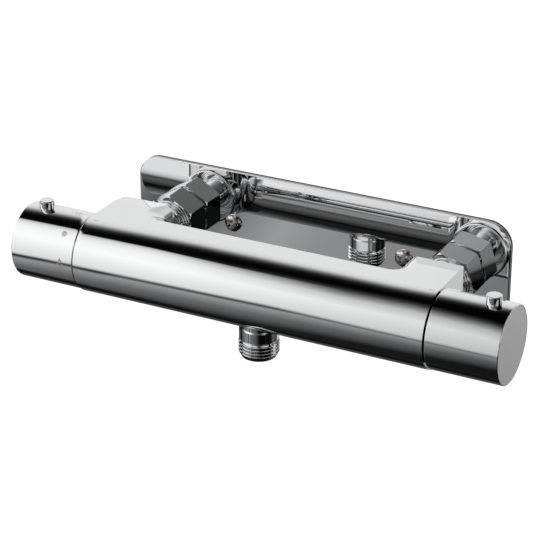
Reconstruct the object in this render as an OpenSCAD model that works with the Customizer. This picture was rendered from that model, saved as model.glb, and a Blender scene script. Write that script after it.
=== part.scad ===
// Thermostatic shower valve on a wall plate, in millimetres.
// The origin is the centre of the plate's back face, on the wall.
// +X runs along the bar, +Y points into the wall and +Z points up.

/* [Bar body] */
// Diameter of the round front of the bar
bar_d = 40.9; // [40.1:0.1:43]
// How far the flat top runs behind the axis of the bar
shoulder_depth = 14.2; // [14:0.1:17]
// Radius of the flat top's rear edge
shoulder_round = 5; // [2:0.5:6]
// Bevel round each end of the body
end_bevel = 0.6; // [0.2:0.1:1]
// How far the body runs past the boss at each end
end_margin = 0.9; // [0.6:0.1:8]

/* [Inlet arms] */
// Distance between the centres of the two inlets
inlet_pitch = 160; // [157:0.5:161]
// Diameter of the round boss at the end of each arm
boss_d = 31.4; // [30:0.2:32]
// How far the boss stands out of the arm
boss_stand = 5; // [3:0.5:8]
// Radius that rolls the flat top over to the arm's inner side
arm_roll = 12; // [6:0.5:14]
// Length of the sloping stretch at the rear of the flat top
slope_run = 10; // [5:0.5:14]
// Slope of that stretch, in degrees
slope_angle = 8; // [2:0.5:12]
// Radius of the arm's rear edges
arm_edge = 3; // [1:0.5:5]
// Radius between the arm and the back of the bar
arm_fillet = 9; // [4:0.5:14]
// Diameter of the threaded socket in the boss
socket_d = 18.63; // [18.2:0.01:19]
// Depth of the threaded socket
socket_depth = 8; // [7:0.5:9]
// Diameter of the pocket that holds a check valve
pocket_d = 15; // [14.6:0.1:16]
// Depth of that pocket behind the socket
pocket_depth = 13; // [12.8:0.1:13.5]
// Metal between that pocket and the thermostat's bore
pocket_floor_t = 1.8; // [1.2:0.1:12]
// Diameter of the water way behind the pocket
way_d = 10; // [8:0.5:11]

/* [Chambers] */
// Diameter of the bore for the flow cartridge
flow_bore_d = 21; // [20.8:0.1:21.4]
// Depth of that bore from the end of the body
flow_bore_depth = 34.6; // [34:0.1:36]
// Diameter of the wide mouth of that bore
flow_mouth_d = 29; // [28.4:0.1:30]
// Depth of the wide mouth
flow_mouth_depth = 6; // [5.5:0.1:7]
// Diameter of the bore for the thermostatic cartridge
thermo_bore_d = 30; // [29.6:0.1:31]
// Depth of that bore from the end of the body
thermo_bore_depth = 56.6; // [56:0.1:60]
// Diameter of the passage for the mixed water
mix_passage_d = 18; // [17:0.1:18.6]
// Thickness of the wall that closes this passage
mix_web = 4; // [3.4:0.1:6]
// Diameter of the long channel for the hot water
hot_channel_d = 5.6; // [5:0.1:6]
// Diameter of the short holes at the ends of this channel
hot_port_d = 4.8; // [4:0.1:4.9]
// Distance from the axis of the bar to this channel
hot_channel_offset = 19; // [18.8:0.1:19.1]
// Angle of the channel above the back of the bar, in degrees
hot_channel_angle = 59; // [57:0.5:61]

/* [Outlet] */
// Distance from the axis of the bar to the outlet's end
outlet_drop = 36.6; // [34:0.1:42]
// Outside diameter of the pipe thread
thread_d = 20.955; // [20.8:0.005:21.1]
// Root diameter of the pipe thread
thread_root_d = 18.63; // [18.4:0.01:18.8]
// Pitch of the pipe thread
thread_pitch = 1.814; // [1.7:0.002:2]
// Threaded length of the outlet
outlet_thread_len = 10; // [8:0.1:11]
// Diameter of the plain collar above that thread
outlet_collar_d = 20.4; // [19.6:0.1:20.6]
// Water way through the outlet
outlet_bore_d = 12; // [10:0.5:14]
// Diameter of the seat under the bar
outlet_seat_d = 22.8; // [22:0.1:24]
// How far the seat stands below the bar
outlet_seat_stand = 0.5; // [0.2:0.1:1.5]
// Length of the outlet's thread inside the body
outlet_grip = 9; // [7:0.5:9.5]

/* [Wall plate] */
// How far the plate runs past each inlet's centre
plate_side = 27.5; // [22:0.5:40]
// Height of the plate
plate_h = 59.4; // [50:0.2:80]
// Thickness of the plate
plate_t = 2.6; // [2:0.1:3]
// Radius of the plate's corners
plate_corner = 13; // [6:0.5:20]
// Bevel round the plate's front
plate_bevel = 0.7; // [0.3:0.1:1.2]
// Distance between the two wall screws
screw_pitch = 99.4; // [80:0.2:110]
// Diameter of a wall screw's thread
screw_d = 4.8; // [4.4:0.1:5.4]
// Diameter of its plain neck, which runs through the plate
screw_neck_d = 4.2; // [3.6:0.1:4.3]
// How far the neck runs into the wall
screw_neck_run = 2; // [1:0.5:5]
// Length of a wall screw under its head
screw_len = 32; // [20:1:45]
// Diameter of the screw's head
screw_head_d = 9.6; // [8.6:0.1:10.4]
// Height of the screw's head
screw_head_h = 3; // [2.4:0.1:4]

/* [Union nuts and wall nipples] */
// Width of a nut across its flats
nut_af = 27; // [26:0.1:28]
// Length of a nut's hexagon
nut_len = 15.2; // [15:0.1:15.6]
// Gap between a nut and the plate
nut_gap = 1.3; // [1.2:0.1:1.6]
// Diameter of the nipple's thread inside the nut
union_thread_d = 20.4; // [20.2:0.05:20.6]
// Length of the turned cone in front of the hexagon
nut_cone = 2.4; // [1.5:0.1:3]
// Thickness of the nut's inner shoulder
nut_shoulder = 2.6; // [2:0.1:3]
// Corner angle of the left nut
left_nut_angle = 30; // [0:1:59]
// Corner angle of the right nut
right_nut_angle = 47; // [0:1:59]
// Diameter of the tail inside the nut
tail_d = 16; // [15.4:0.1:16.4]
// Length of the tail that shows between the nut and the boss
neck_len = 9.5; // [6:0.5:14]
// Water way through the tail
tail_bore_d = 11; // [9:0.5:12]
// Thickness of the tail's collar
collar_t = 2; // [1.6:0.1:2.4]
// Thickness of the flat washer
washer_t = 1.5; // [1.2:0.1:2]
// Thickness of the dirt strainer
strainer_t = 1; // [0.8:0.1:1.4]
// Thickness of the flange on the wall nipple
flange_t = 0.7; // [0.5:0.05:0.8]
// Thickness of the seal under that flange
flange_seal_t = 0.4; // [0.3:0.05:0.5]
// Length of the nipple behind the wall
nipple_tail = 14; // [10:0.5:24]
// Plain stretch of the nipple between the plate's back and that thread
nipple_relief = 3; // [2:0.5:5]

/* [Check valves] */
// Length of a check valve's housing
check_len = 12.5; // [12:0.1:12.7]
// Wall of that housing
check_wall = 1; // [0.8:0.1:1.2]
// Travel of the poppet
check_travel = 2; // [1.5:0.1:2.2]
// Diameter of the poppet's disc
poppet_d = 8.6; // [8:0.1:9]
// Diameter of the poppet's stem
poppet_stem_d = 3; // [2.4:0.1:3.4]

/* [Knobs] */
// Diameter of a knob
knob_d = 39.9; // [39.4:0.1:41]
// Distance between a knob and the body
knob_gap = 0.7; // [0.4:0.1:1.2]
// Length of a knob
knob_len = 37.1; // [36.6:0.1:40]
// Wall of a knob
knob_wall = 2.35; // [2:0.05:2.6]
// Thickness of the web inside a knob
knob_web = 3; // [2.8:0.1:3.4]
// Thickness of the end cap
cap_t = 1.9; // [1.5:0.1:2]
// Width of the bright rim around the cap
cap_rim = 0.8; // [0.5:0.1:1.4]
// Bevel on a knob's two edges
knob_bevel = 0.5; // [0.2:0.1:0.8]
// Diameter of the hub inside a knob
hub_d = 17; // [15:0.5:18]
// Thickness of the hub's ribs
rib_t = 2.4; // [1.6:0.1:3]
// Turn of the flow knob, in degrees
flow_turn = 90; // [60:1:120]
// Turn of the temperature knob towards cold, in degrees
cold_turn = 140; // [90:1:150]
// Turn of the temperature knob towards hot, in degrees
hot_turn = 50; // [20:1:60]

/* [Buttons] */
// Diameter of a button
button_d = 7.8; // [7:0.1:8.4]
// How far a button stands above its knob
button_stand = 4; // [3:0.1:6]
// Travel of a button
button_travel = 2.5; // [1.5:0.1:2.5]
// Distance from the knob's end to the button's centre
button_inset = 10.4; // [10.2:0.1:11.5]
// Rounding of the button's top edge
button_round = 0.6; // [0.2:0.1:1]

/* [Flow cartridge] */
// Diameter of the fixed ceramic disc
lower_disc_d = 15.8; // [15.2:0.1:16]
// Thickness of each ceramic disc
disc_t = 3; // [2.6:0.1:3.1]
// Thickness of the rubber seat
seat_t = 2.2; // [1.8:0.1:2.4]
// Diameter of the cartridge's slim end
slim_end_d = 18; // [17.6:0.1:18.2]
// Width of the water windows
window_w = 6; // [4:0.5:7]
// Diameter of both spindles
spindle_d = 8; // [7:0.1:9]
// Diameter of the nose that carries a stop ring
nose_d = 14; // [12.5:0.1:15]
// Length of the nose beyond the body
nose_len = 7.9; // [7.4:0.1:8.4]

/* [Thermostat] */
// Wall of the cartridge housing under its seals
housing_wall = 3.4; // [3:0.1:3.8]
// Depth of the water grooves round the housing
groove_depth = 1.8; // [1.2:0.1:2]
// Length of the regulating piston
piston_len = 18; // [17.4:0.1:18.4]
// Diameter of the wax capsule
capsule_d = 9.8; // [9:0.1:10.4]
// Pitch of the adjusting thread
adjust_pitch = 3; // [1:0.1:3]

/* [Hidden] */
$fn = 72;

// Clearances: a part that turns or slides, a part that is screwed or pushed in, two faces
run_clear = 0.06;
fit_clear = 0.05;
face_clear = 0.1;
// Clearance around what is only near its neighbour
free_clear = 0.35;
// How far a cut runs past the face that it opens
over = 1;

// Bar, arms and chambers
bar_r = bar_d / 2;
boss_r = boss_d / 2;
inlet_x = inlet_pitch / 2;
plate_w = 2 * inlet_x + 2 * plate_side;
body_half = inlet_x + boss_r + end_margin;
body_len = 2 * body_half;
nut_back = plate_t + nut_gap;
nut_front = nut_back + nut_len;
boss_face = nut_front + nut_cone + neck_len;
bar_reach = boss_face + socket_depth + pocket_depth + pocket_floor_t + thermo_bore_d / 2;
arm_in = inlet_x - boss_r;
arm_back = boss_face + boss_stand;
arm_side_round = 8;
boss_round = 1.5;
shoulder_back = bar_reach - shoulder_depth;
flow_floor = body_half - flow_bore_depth;
thermo_floor = body_half - thermo_bore_depth;
web_face = thermo_floor - mix_web;
way_end = bar_reach - thermo_bore_d / 2 + way_d / 4;
hot_riser_offset = 15;
hot_way_end = bar_reach - hot_riser_offset + way_d / 4;
channel_back = hot_channel_offset * cos(hot_channel_angle);
channel_up = hot_channel_offset * sin(hot_channel_angle);

// Pipe thread: share of the pitch that one crest and one flank take
crest_share = 0.3;
flank_share = 0.3;
thread_r = thread_d / 2;
thread_root_r = thread_root_d / 2;
union_thread_r = union_thread_d / 2;

// Inlet stack, as distances from the wall
nut_corner_r = nut_af / 2 / cos(30);
nut_bevel = 0.8;
nut_cone_base_r = nut_af / 2 - nut_bevel;
nut_cone_tip_r = nut_cone_base_r - nut_cone;
collar_front = nut_front - nut_shoulder - face_clear;
collar_back = collar_front - collar_t;
nipple_front = collar_back - washer_t;
collar_r = union_thread_r - fit_clear;
nipple_bore_r = 6.5;
flange_r = nut_af / 2 - free_clear;
socket_floor = boss_face + socket_depth;
pocket_floor = socket_floor + pocket_depth;
tail_end = socket_floor - face_clear;

// Check valve
check_r = pocket_d / 2 - fit_clear;
check_seal_r = 0.9;
check_groove_depth = 1.5;
check_back = socket_floor;
check_front = check_back + check_len;
poppet_t = 1.2;
valve_seat_t = 2;
check_seat_lap = 1;
check_seat_r = poppet_d / 2 - check_seat_lap;
guide_t = 1.5;
guide_at = check_front - guide_t;
poppet_at = check_back + valve_seat_t + face_clear;
poppet_tip = check_front - check_travel / 4;
spring_wire_r = 0.35;

// Outlet
outlet_seat_drop = bar_r + outlet_seat_stand;
outlet_hole_top = mix_passage_d / 2 - over;
outlet_top = outlet_seat_drop - outlet_grip;
outlet_seal_wire_r = 0.45;
outlet_seal_at = outlet_seat_drop - 4 * outlet_seal_wire_r;
outlet_thread_top = outlet_drop - outlet_thread_len;
outlet_chamfer = 1.2;

// Stations along the bar, as distances from its middle, the same on both sides
knob_start = body_half + knob_gap;
knob_end = knob_start + knob_len;
knob_r = knob_d / 2;
knob_in_r = knob_r - knob_wall;
cap_start = knob_end - cap_t - fit_clear;
web_start = cap_start - knob_web;
button_at = knob_end - button_inset;
nose_end = body_half + nose_len;
clip_t = 0.8;
clip_start = nose_end + 0.5 * free_clear;
clip_groove_depth = 0.6;
clip_width = 2.6;
hub_start = clip_start + clip_t + free_clear;
spindle_r = spindle_d / 2;
spline_len = 12;
spline_end = hub_start + spline_len;
spindle_end = spline_end - free_clear;
flats_share = 0.8;
rib_setback = 4;
hub_rib_start = hub_start + rib_setback;
screw_r = 2;
screw_hole_len = 10;
knob_screw_head_r = 3.6;
knob_screw_head_h = 1.9;
hex_key_r = 1.45;
hex_key_depth = 1.2;

// Button, latch and spring, as distances from the axis of the bar
button_r = button_d / 2;
button_top = knob_r + button_stand;
button_flange_w = 0.7;
button_flange_r = button_r + button_flange_w;
latch_t = 1.3;
latch_w = 5;
latch_low = 13.6;
button_low = latch_low + latch_t;
button_flange_t = 1.3;
button_spring_r = 2.4;
button_spring_floor = 8;
cup_top = latch_low - button_travel - free_clear;
cup_r = button_flange_r;
spring_room = 0.9;
cup_in_r = button_spring_r + spring_room;
latch_setback = 3.6;
latch_start = body_half + latch_setback;

// Stop ring and its lug, with the angle left between lug and latch
stop_ring_r = 10.4;
stop_ring_start = knob_start + free_clear;
stop_ring_end = nose_end - free_clear;
lug_r = latch_low + latch_t / 2;
lug_margin = 16;
lug_reach = 3 * lug_r;

// Flow cartridge
nose_r = nose_d / 2;
flow_floor_gap = 2.4;
seat_start = flow_floor + flow_floor_gap;
lower_disc_r = lower_disc_d / 2;
lower_disc_start = seat_start + seat_t;
upper_disc_start = lower_disc_start + disc_t + face_clear;
disc_gap = 0.2;
upper_disc_r = lower_disc_r - disc_gap;
foot_start = upper_disc_start + disc_t;
foot_t = 2.7;
foot_end = foot_start + foot_t;
foot_r = upper_disc_r - face_clear;
disc_chamber_r = lower_disc_r + fit_clear;
disc_chamber_end = foot_end + free_clear;
slim_floor_t = 1.5;
slim_end = disc_chamber_end + slim_floor_t;
slim_r = slim_end_d / 2;
flow_thread_r = flow_bore_d / 2 - fit_clear;
flow_hex_start = body_half - flow_mouth_depth + face_clear;
flow_hex_sink = 1;
flow_hex_end = body_half - flow_hex_sink;
flow_hex_gap = 0.6;
flow_hex_r = flow_mouth_d / 2 - flow_hex_gap;
port_r = 1.8;
port_offset = 3.4;
foot_w = 4;
foot_depth = 1.2;
spindle_seal_wire_r = 0.8;
spindle_groove_depth = 1;
flow_seal_setback = 2;
flow_seal_at = flow_hex_start - flow_seal_setback;
flow_seal_wire_r = 0.9;
flow_groove_depth = 1.5;

// Mixed water tube
mix_tube_r = 6.5;
mix_tube_in_r = 5.2;
mix_tube_run = 1.6;
mix_tube_end = thermo_floor + mix_tube_run;
mix_flange_r = disc_chamber_r - fit_clear;
mix_flange_t = 1.4;
mix_seal_wire_r = 0.8;
mix_groove_depth = 1.2;

// Thermostatic cartridge
housing_r = thermo_bore_d / 2 - fit_clear;
housing_in_r = housing_r - housing_wall;
housing_gap = 0.2;
housing_start = mix_tube_end + housing_gap;
housing_floor_t = 2.6;
housing_floor = housing_start + housing_floor_t;
retainer_depth = 4.6;
housing_end = body_half - retainer_depth;
water_groove_r = housing_r - groove_depth;
hot_groove_setback = 4.2;
hot_groove_start = housing_start + hot_groove_setback;
hot_groove_w = 9;
hot_groove_end = hot_groove_start + hot_groove_w;
hot_port_at = (hot_groove_start + hot_groove_end) / 2;
cold_groove_in = 12;
cold_groove_out = 7;
cold_groove_start = inlet_x - cold_groove_in;
cold_groove_end = inlet_x + cold_groove_out;
seal_groove_w = 2.4;
seal_wire_r = 1.1;
seal_groove_r = housing_r - 2 * seal_wire_r + fit_clear;
seal_margin = 1.1;
seal_stations = [housing_start + seal_margin, hot_groove_end + seal_groove_w,
                 housing_end - seal_margin - seal_groove_w];
slot_count = 6;
slot_w = 5;
slot_l = 2.5;
piston_lap = 1.7;
piston_start = hot_groove_end - piston_lap;
piston_end = piston_start + piston_len;
piston_r = housing_in_r - run_clear;
piston_wall = 1.8;
piston_in_r = piston_r - piston_wall;
slot_open = 1.2;
hot_slot_start = piston_start - slot_open;
cold_slot_start = piston_end + slot_open - slot_l;
piston_web_setback = 6.5;
piston_web_start = piston_start + piston_web_setback;
piston_web_t = 3;
piston_hub_wall = 1.4;
piston_hub_r = capsule_d / 2 + piston_hub_wall;
piston_seal_at = piston_web_start + piston_web_t / 2;
capsule_r = capsule_d / 2;
capsule_run = 6;
capsule_start = piston_start - capsule_run;
capsule_flange_w = 1.5;
capsule_flange_r = capsule_r + capsule_flange_w;
capsule_flange_t = 2.5;
capsule_nose_r = 3;
capsule_nose_gap = 1;
capsule_nose_end = piston_end - capsule_nose_gap;
piston_pin_r = 1.6;
return_spring_r = 7.4;
return_spring_wire_r = 0.7;
adjust_gap = 4.6;
adjust_flange_start = piston_end + adjust_gap;
adjust_flange_t = 2;
adjust_flange_r = 8.2;
adjust_key_w = 3;
adjust_key_depth = 0.5;
adjust_key_reach = housing_in_r + adjust_key_depth;
adjust_body_r = 6.9;
cold_travel = cold_turn / 360 * adjust_pitch;
hot_travel = hot_turn / 360 * adjust_pitch;
adjust_in_r = 5.2;
adjust_floor_t = 1.5;
adjust_len = 11;
adjust_end = adjust_flange_start + adjust_len;
pin_stand = 0.6;
pin_end = adjust_flange_start + adjust_floor_t + pin_stand;
overload_seat_t = 1.2;
plug_t = 1.4;
overload_spring_r = 3.7;
overload_wire_r = 0.6;
cup_start = adjust_flange_start + adjust_flange_t + hot_travel + free_clear;
spindle_cup_wall = 2.2;
spindle_cup_r = adjust_body_r + spindle_cup_wall;
thrust_t = 2;
thrust_start = housing_end - thrust_t;
thrust_r = 10.5;
cup_end = thrust_start;
retainer_start = housing_end;
retainer_sink = 0.4;
retainer_end = body_half - retainer_sink;
retainer_r = housing_r;

// Wire coils: sides of the wire and steps per turn
coil_sides = 6;
coil_steps = 8;

// Shapes that repeat

module rod(r, from, to) {
    translate([0, 0, from]) cylinder(r = r, h = to - from);
}

module pipe(r_out, r_in, from, to) {
    difference() {
        rod(r_out, from, to);
        rod(r_in, from - over, to + over);
    }
}

module torus(r, wire, at) {
    translate([0, 0, at]) rotate_extrude() translate([r, 0]) circle(r = wire, $fn = 32);
}

// Round bar with a bevel at both ends
module bevelled_rod(r, bevel, from, to) {
    rod(r, from + bevel, to - bevel);
    translate([0, 0, from]) cylinder(r1 = r - bevel, r2 = r, h = bevel);
    translate([0, 0, to - bevel]) cylinder(r1 = r, r2 = r - bevel, h = bevel);
}

// Ridges of a pipe thread that stand on a plain root
module thread_ridges(from, to, crest_r = thread_r) {
    flank = flank_share * thread_pitch;
    crest = crest_share * thread_pitch;
    count = floor((to - from) / thread_pitch);
    for (i = [0 : count - 1]) {
        start = from + i * thread_pitch;
        translate([0, 0, start]) cylinder(r1 = thread_root_r, r2 = crest_r, h = flank);
        rod(crest_r, start + flank, start + flank + crest);
        translate([0, 0, start + flank + crest]) cylinder(r1 = crest_r, r2 = thread_root_r, h = flank);
    }
}

// What a rounded edge takes off: the edge is the Z axis and the material lies at -X and -Y
module edge_cut(r, length) {
    difference() {
        translate([-r, -r, 0]) cube([r + over, r + over, length]);
        translate([-r, -r, -over]) cylinder(r = r, h = length + 2 * over);
    }
}

// Helical spring between two planes
module coil(r, wire, from, to, turns) {
    steps = ceil(turns * coil_steps);
    rise = (to - from - 2 * wire) / steps;
    points = [
        for (i = [0 : steps], j = [0 : coil_sides - 1])
            let (turn = 360 * i / coil_steps, side = 360 * j / coil_sides)
                [(r + wire * cos(side)) * cos(turn),
                 (r + wire * cos(side)) * sin(turn),
                 from + wire + rise * i + wire * sin(side)]
    ];
    sides = [
        for (i = [0 : steps - 1], j = [0 : coil_sides - 1])
            let (a = i * coil_sides + j,
                 b = i * coil_sides + (j + 1) % coil_sides,
                 c = a + coil_sides,
                 d = b + coil_sides)
                each [[a, d, b], [a, c, d]]
    ];
    first = [for (j = [1 : coil_sides - 2]) [0, j, j + 1]];
    last_at = steps * coil_sides;
    last = [for (j = [1 : coil_sides - 2]) [last_at, last_at + j + 1, last_at + j]];
    polyhedron(points = points, faces = concat(sides, first, last));
}

// Puts a piece on the bar: its Z runs out of the bar, its X points up and its Y points to the room
module on_bar(side) {
    mirror([side < 0 ? 1 : 0, 0, 0])
        translate([0, -bar_reach, 0])
            rotate([0, 90, 0]) rotate([0, 0, 180]) children();
}

// Puts a piece on an inlet: its Z is the distance from the wall and its Y points up
module on_inlet(side) {
    translate([side * inlet_x, 0, 0]) rotate([90, 0, 0]) children();
}

// Puts a piece under the bar: its Z is the distance below the axis of the bar
module on_outlet() {
    translate([0, -bar_reach, 0]) rotate([180, 0, 0]) children();
}

// Cast body

module bar_skin() {
    translate([-body_half, -bar_reach, 0]) rotate([0, 90, 0])
        bevelled_rod(bar_r, end_bevel, 0, body_len);
    translate([-body_half, -bar_reach, 0])
        cube([body_len, shoulder_depth - shoulder_round, bar_r]);
    translate([-body_half, -bar_reach, 0])
        cube([body_len, shoulder_depth, bar_r - shoulder_round]);
    translate([-body_half, -shoulder_back - shoulder_round, bar_r - shoulder_round])
        rotate([0, 90, 0]) cylinder(r = shoulder_round, h = body_len);
}

module arm_skin() {
    arm_len = bar_reach - arm_back;
    arm_w = body_half - arm_in;
    arm_h = boss_r + bar_r;
    difference() {
        translate([arm_in, -bar_reach, -boss_r]) cube([arm_w, arm_len, arm_h]);
        // inner edges, above and below
        translate([arm_in, -shoulder_back, bar_r]) rotate([-90, 0, 0]) rotate([0, 0, 180])
            edge_cut(arm_roll, arm_len);
        translate([arm_in, -shoulder_back, -boss_r]) rotate([-90, 0, 0]) rotate([0, 0, 90])
            edge_cut(arm_roll, arm_len);
        // sloping rear of the flat top
        translate([arm_in - over, -arm_back - slope_run, bar_r]) rotate([-slope_angle, 0, 0])
            cube([arm_w + 2 * over, 2 * slope_run, arm_h]);
        // rear corners and the edge under the arm
        translate([body_half, -arm_back, -boss_r - over]) edge_cut(arm_edge, arm_h + 2 * over);
        translate([arm_in, -arm_back, -boss_r - over]) rotate([0, 0, 90])
            edge_cut(arm_side_round, arm_h + 2 * over);
        translate([arm_in - over, -arm_back, -boss_r]) rotate([0, 90, 0])
            edge_cut(arm_edge, arm_w + 2 * over);
    }
    // concave fillet between the arm and the back of the bar
    fillet_h = bar_r - shoulder_round;
    translate([arm_in - arm_fillet, -shoulder_back, -fillet_h / 2]) difference() {
        translate([0, -over, 0]) cube([arm_fillet + over, arm_fillet + over, 1.5 * fillet_h]);
        translate([0, arm_fillet, -over]) cylinder(r = arm_fillet, h = 1.5 * fillet_h + 2 * over);
    }
    translate([inlet_x, 0, 0]) rotate([90, 0, 0])
        bevelled_rod(boss_r, boss_round, boss_face, shoulder_back);
}

module valve_body() {
    color("gainsboro") difference() {
        union() {
            bar_skin();
            for (side = [0, 1]) mirror([side, 0, 0]) arm_skin();
            on_outlet() rod(outlet_seat_d / 2, mix_passage_d / 2, outlet_seat_drop);
        }
        on_bar(-1) {
            rod(flow_bore_d / 2, flow_floor, body_half + over);
            rod(flow_mouth_d / 2, body_half - flow_mouth_depth, body_half + over);
            rod(mix_passage_d / 2, -web_face, flow_floor + over);
        }
        on_bar(1) {
            rod(thermo_bore_d / 2, thermo_floor, body_half + over);
            rod(mix_tube_r + run_clear, web_face - over, thermo_floor + over);
        }
        // hot water: up from the left inlet, along the flat top's rear edge, down to the thermostat
        translate([-inlet_x, -bar_reach + hot_riser_offset, 0])
            rotate([atan2(hot_riser_offset - channel_back, channel_up), 0, 0])
                rod(hot_port_d / 2, 0, norm([hot_riser_offset - channel_back, channel_up]));
        translate([-inlet_x, -bar_reach + channel_back, channel_up]) rotate([0, 90, 0])
            rod(hot_channel_d / 2, -hot_channel_d / 2, inlet_x + hot_port_at + hot_channel_d / 2);
        translate([hot_port_at, -bar_reach, 0]) rotate([hot_channel_angle - 90, 0, 0])
            rod(hot_port_d / 2, thermo_bore_d / 2 - over, hot_channel_offset);
        for (side = [-1, 1]) on_inlet(side) {
            rod(socket_d / 2, boss_face - over, socket_floor);
            rod(pocket_d / 2, socket_floor - over, pocket_floor);
            rod(way_d / 2, pocket_floor - over, side < 0 ? hot_way_end : way_end);
        }
        on_outlet() rod(thread_root_r, outlet_hole_top, outlet_seat_drop + over);
    }
}

// Wall plate, screws and nipples

module plate_blank() {
    flat_t = plate_t - plate_bevel;
    corner_x = plate_w / 2 - plate_corner;
    corner_z = plate_h / 2 - plate_corner;
    long_edge = [[0, -plate_h / 2], [flat_t, -plate_h / 2], [plate_t, -plate_h / 2 + plate_bevel],
                 [plate_t, plate_h / 2 - plate_bevel], [flat_t, plate_h / 2], [0, plate_h / 2]];
    short_edge = [[0, -plate_w / 2], [flat_t, -plate_w / 2], [plate_t, -plate_w / 2 + plate_bevel],
                  [plate_t, plate_w / 2 - plate_bevel], [flat_t, plate_w / 2], [0, plate_w / 2]];
    translate([-corner_x, 0, 0]) rotate([90, 0, 90])
        linear_extrude(2 * corner_x) mirror([1, 0]) polygon(long_edge);
    translate([0, 0, -corner_z]) linear_extrude(2 * corner_z)
        rotate(-90) polygon(short_edge);
    for (x = [-corner_x, corner_x], z = [-corner_z, corner_z])
        translate([x, 0, z]) rotate([90, 0, 0]) {
            cylinder(r = plate_corner, h = flat_t);
            translate([0, 0, flat_t])
                cylinder(r1 = plate_corner, r2 = plate_corner - plate_bevel, h = plate_bevel);
        }
}

module wall_plate() {
    color("silver") difference() {
        plate_blank();
        for (side = [-1, 1]) {
            on_inlet(side) rod(thread_r + face_clear, -over, plate_t + over);
            translate([side * screw_pitch / 2, 0, 0]) rotate([90, 0, 0])
                rod(screw_d / 2 + face_clear, -over, plate_t + over);
        }
    }
}

module wall_screws() {
    edge = screw_head_h / 3;
    recess_w = screw_head_d / 8;
    recess_l = screw_head_d / 2;
    tip_len = screw_d;
    color("lightsteelblue") for (side = [-1, 1])
        translate([side * screw_pitch / 2, 0, 0]) rotate([90, 0, 0]) difference() {
            union() {
                rod(screw_head_d / 2, plate_t, plate_t + edge);
                translate([0, 0, plate_t + edge])
                    cylinder(r1 = screw_head_d / 2, r2 = screw_head_d / 2 - edge, h = edge);
                translate([0, 0, plate_t + 2 * edge])
                    cylinder(r1 = screw_head_d / 2 - edge, r2 = screw_head_d / 4, h = edge);
                rod(screw_neck_d / 2, -screw_neck_run, plate_t + edge);
                rod(screw_d / 2, plate_t - screw_len + tip_len, -screw_neck_run);
                translate([0, 0, plate_t - screw_len])
                    cylinder(r1 = screw_d / 10, r2 = screw_d / 2, h = tip_len);
            }
            for (turn = [0, 90]) rotate([0, 0, turn + 45])
                translate([-recess_l / 2, -recess_w / 2, plate_t + edge])
                    cube([recess_l, recess_w, screw_head_h]);
        }
}

module wall_nipples() {
    thread_back = plate_t + flange_seal_t + flange_t;
    color("peru") for (side = [-1, 1]) on_inlet(side) difference() {
        union() {
            rod(thread_root_r, -nipple_tail, nipple_front);
            thread_ridges(-nipple_tail + thread_pitch / 2, -nipple_relief);
            thread_ridges(thread_back, nipple_front - thread_pitch / 4, union_thread_r);
            rod(flange_r, plate_t + flange_seal_t, thread_back);
        }
        rod(nipple_bore_r, -nipple_tail - over, nipple_front + over);
    }
}

module nipple_flange_seals() {
    color("dimgray") for (side = [-1, 1]) on_inlet(side)
        pipe(flange_r, thread_r + fit_clear, plate_t, plate_t + flange_seal_t);
}

// Union between the arms and the wall nipples

module union_tails() {
    strainer_r = tail_bore_d / 2 + fit_clear;
    color("burlywood") for (side = [-1, 1]) on_inlet(side) difference() {
        union() {
            rod(collar_r, collar_back, collar_front);
            rod(tail_d / 2, collar_front, boss_face);
            rod(socket_d / 2 - fit_clear, boss_face + fit_clear, tail_end);
            rod(tail_d / 2, boss_face, boss_face + over);
        }
        rod(strainer_r, collar_back - over, collar_back + strainer_t);
        rod(tail_bore_d / 2 - strainer_t, collar_back, tail_end + over);
    }
}

module union_washers() {
    color("darkslategray") for (side = [-1, 1]) on_inlet(side)
        pipe(collar_r, nipple_bore_r, nipple_front, collar_back);
}

module inlet_strainers() {
    mesh_r = tail_bore_d / 2 - strainer_t;
    hole_r = mesh_r / 11;
    color("darkgray") for (side = [-1, 1]) on_inlet(side) difference() {
        rod(tail_bore_d / 2, collar_back, collar_back + strainer_t);
        for (ring = [0 : 3], i = [0 : max(0, 6 * ring - 1)])
            rotate([0, 0, i * 60 / max(1, ring)]) translate([ring * mesh_r / 4, 0, 0])
                translate([0, 0, collar_back - over])
                    cylinder(r = hole_r, h = strainer_t + 2 * over, $fn = 8);
    }
}

module union_nut(side, angle) {
    bore_r = union_thread_r + run_clear;
    color("whitesmoke") on_inlet(side) difference() {
        union() {
            intersection() {
                rotate([0, 0, angle]) translate([0, 0, nut_back])
                    cylinder(r = nut_corner_r, h = nut_len, $fn = 6);
                bevelled_rod(nut_corner_r + face_clear, nut_bevel + face_clear, nut_back, nut_front);
            }
            rod(nut_cone_base_r, nut_back + nut_bevel, nut_front);
            translate([0, 0, nut_front])
                cylinder(r1 = nut_cone_base_r, r2 = nut_cone_tip_r, h = nut_cone);
        }
        rod(bore_r, nut_back - over, nut_front - nut_shoulder);
        rod(tail_d / 2 + run_clear, nut_front - nut_shoulder - over, nut_front + nut_cone + over);
    }
}

// Check valves, as distances from the wall

module check_valve_housings() {
    seal_at = check_back + check_len / 2;
    color("ivory") for (side = [-1, 1]) on_inlet(side) difference() {
        rod(check_r, check_back, check_front);
        // seat at the inlet end, then the poppet's chamber, then the guide's spokes
        rod(check_seat_r, check_back - over, check_front - guide_t);
        rod(check_r - check_wall - check_groove_depth, check_back + valve_seat_t, guide_at);
        rod(poppet_stem_d / 2 + run_clear, guide_at - over, check_front + over);
        for (turn = [0 : 90 : 270]) rotate([0, 0, turn + 45])
            translate([(check_seat_r + poppet_stem_d / 2) / 2 + check_wall / 2, 0, 0])
                rod(check_seat_r / 4, guide_at - over, check_front + over);
        pipe(pocket_d, check_r - check_groove_depth, seal_at - check_seal_r - fit_clear,
             seal_at + check_seal_r + fit_clear);
    }
}

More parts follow.
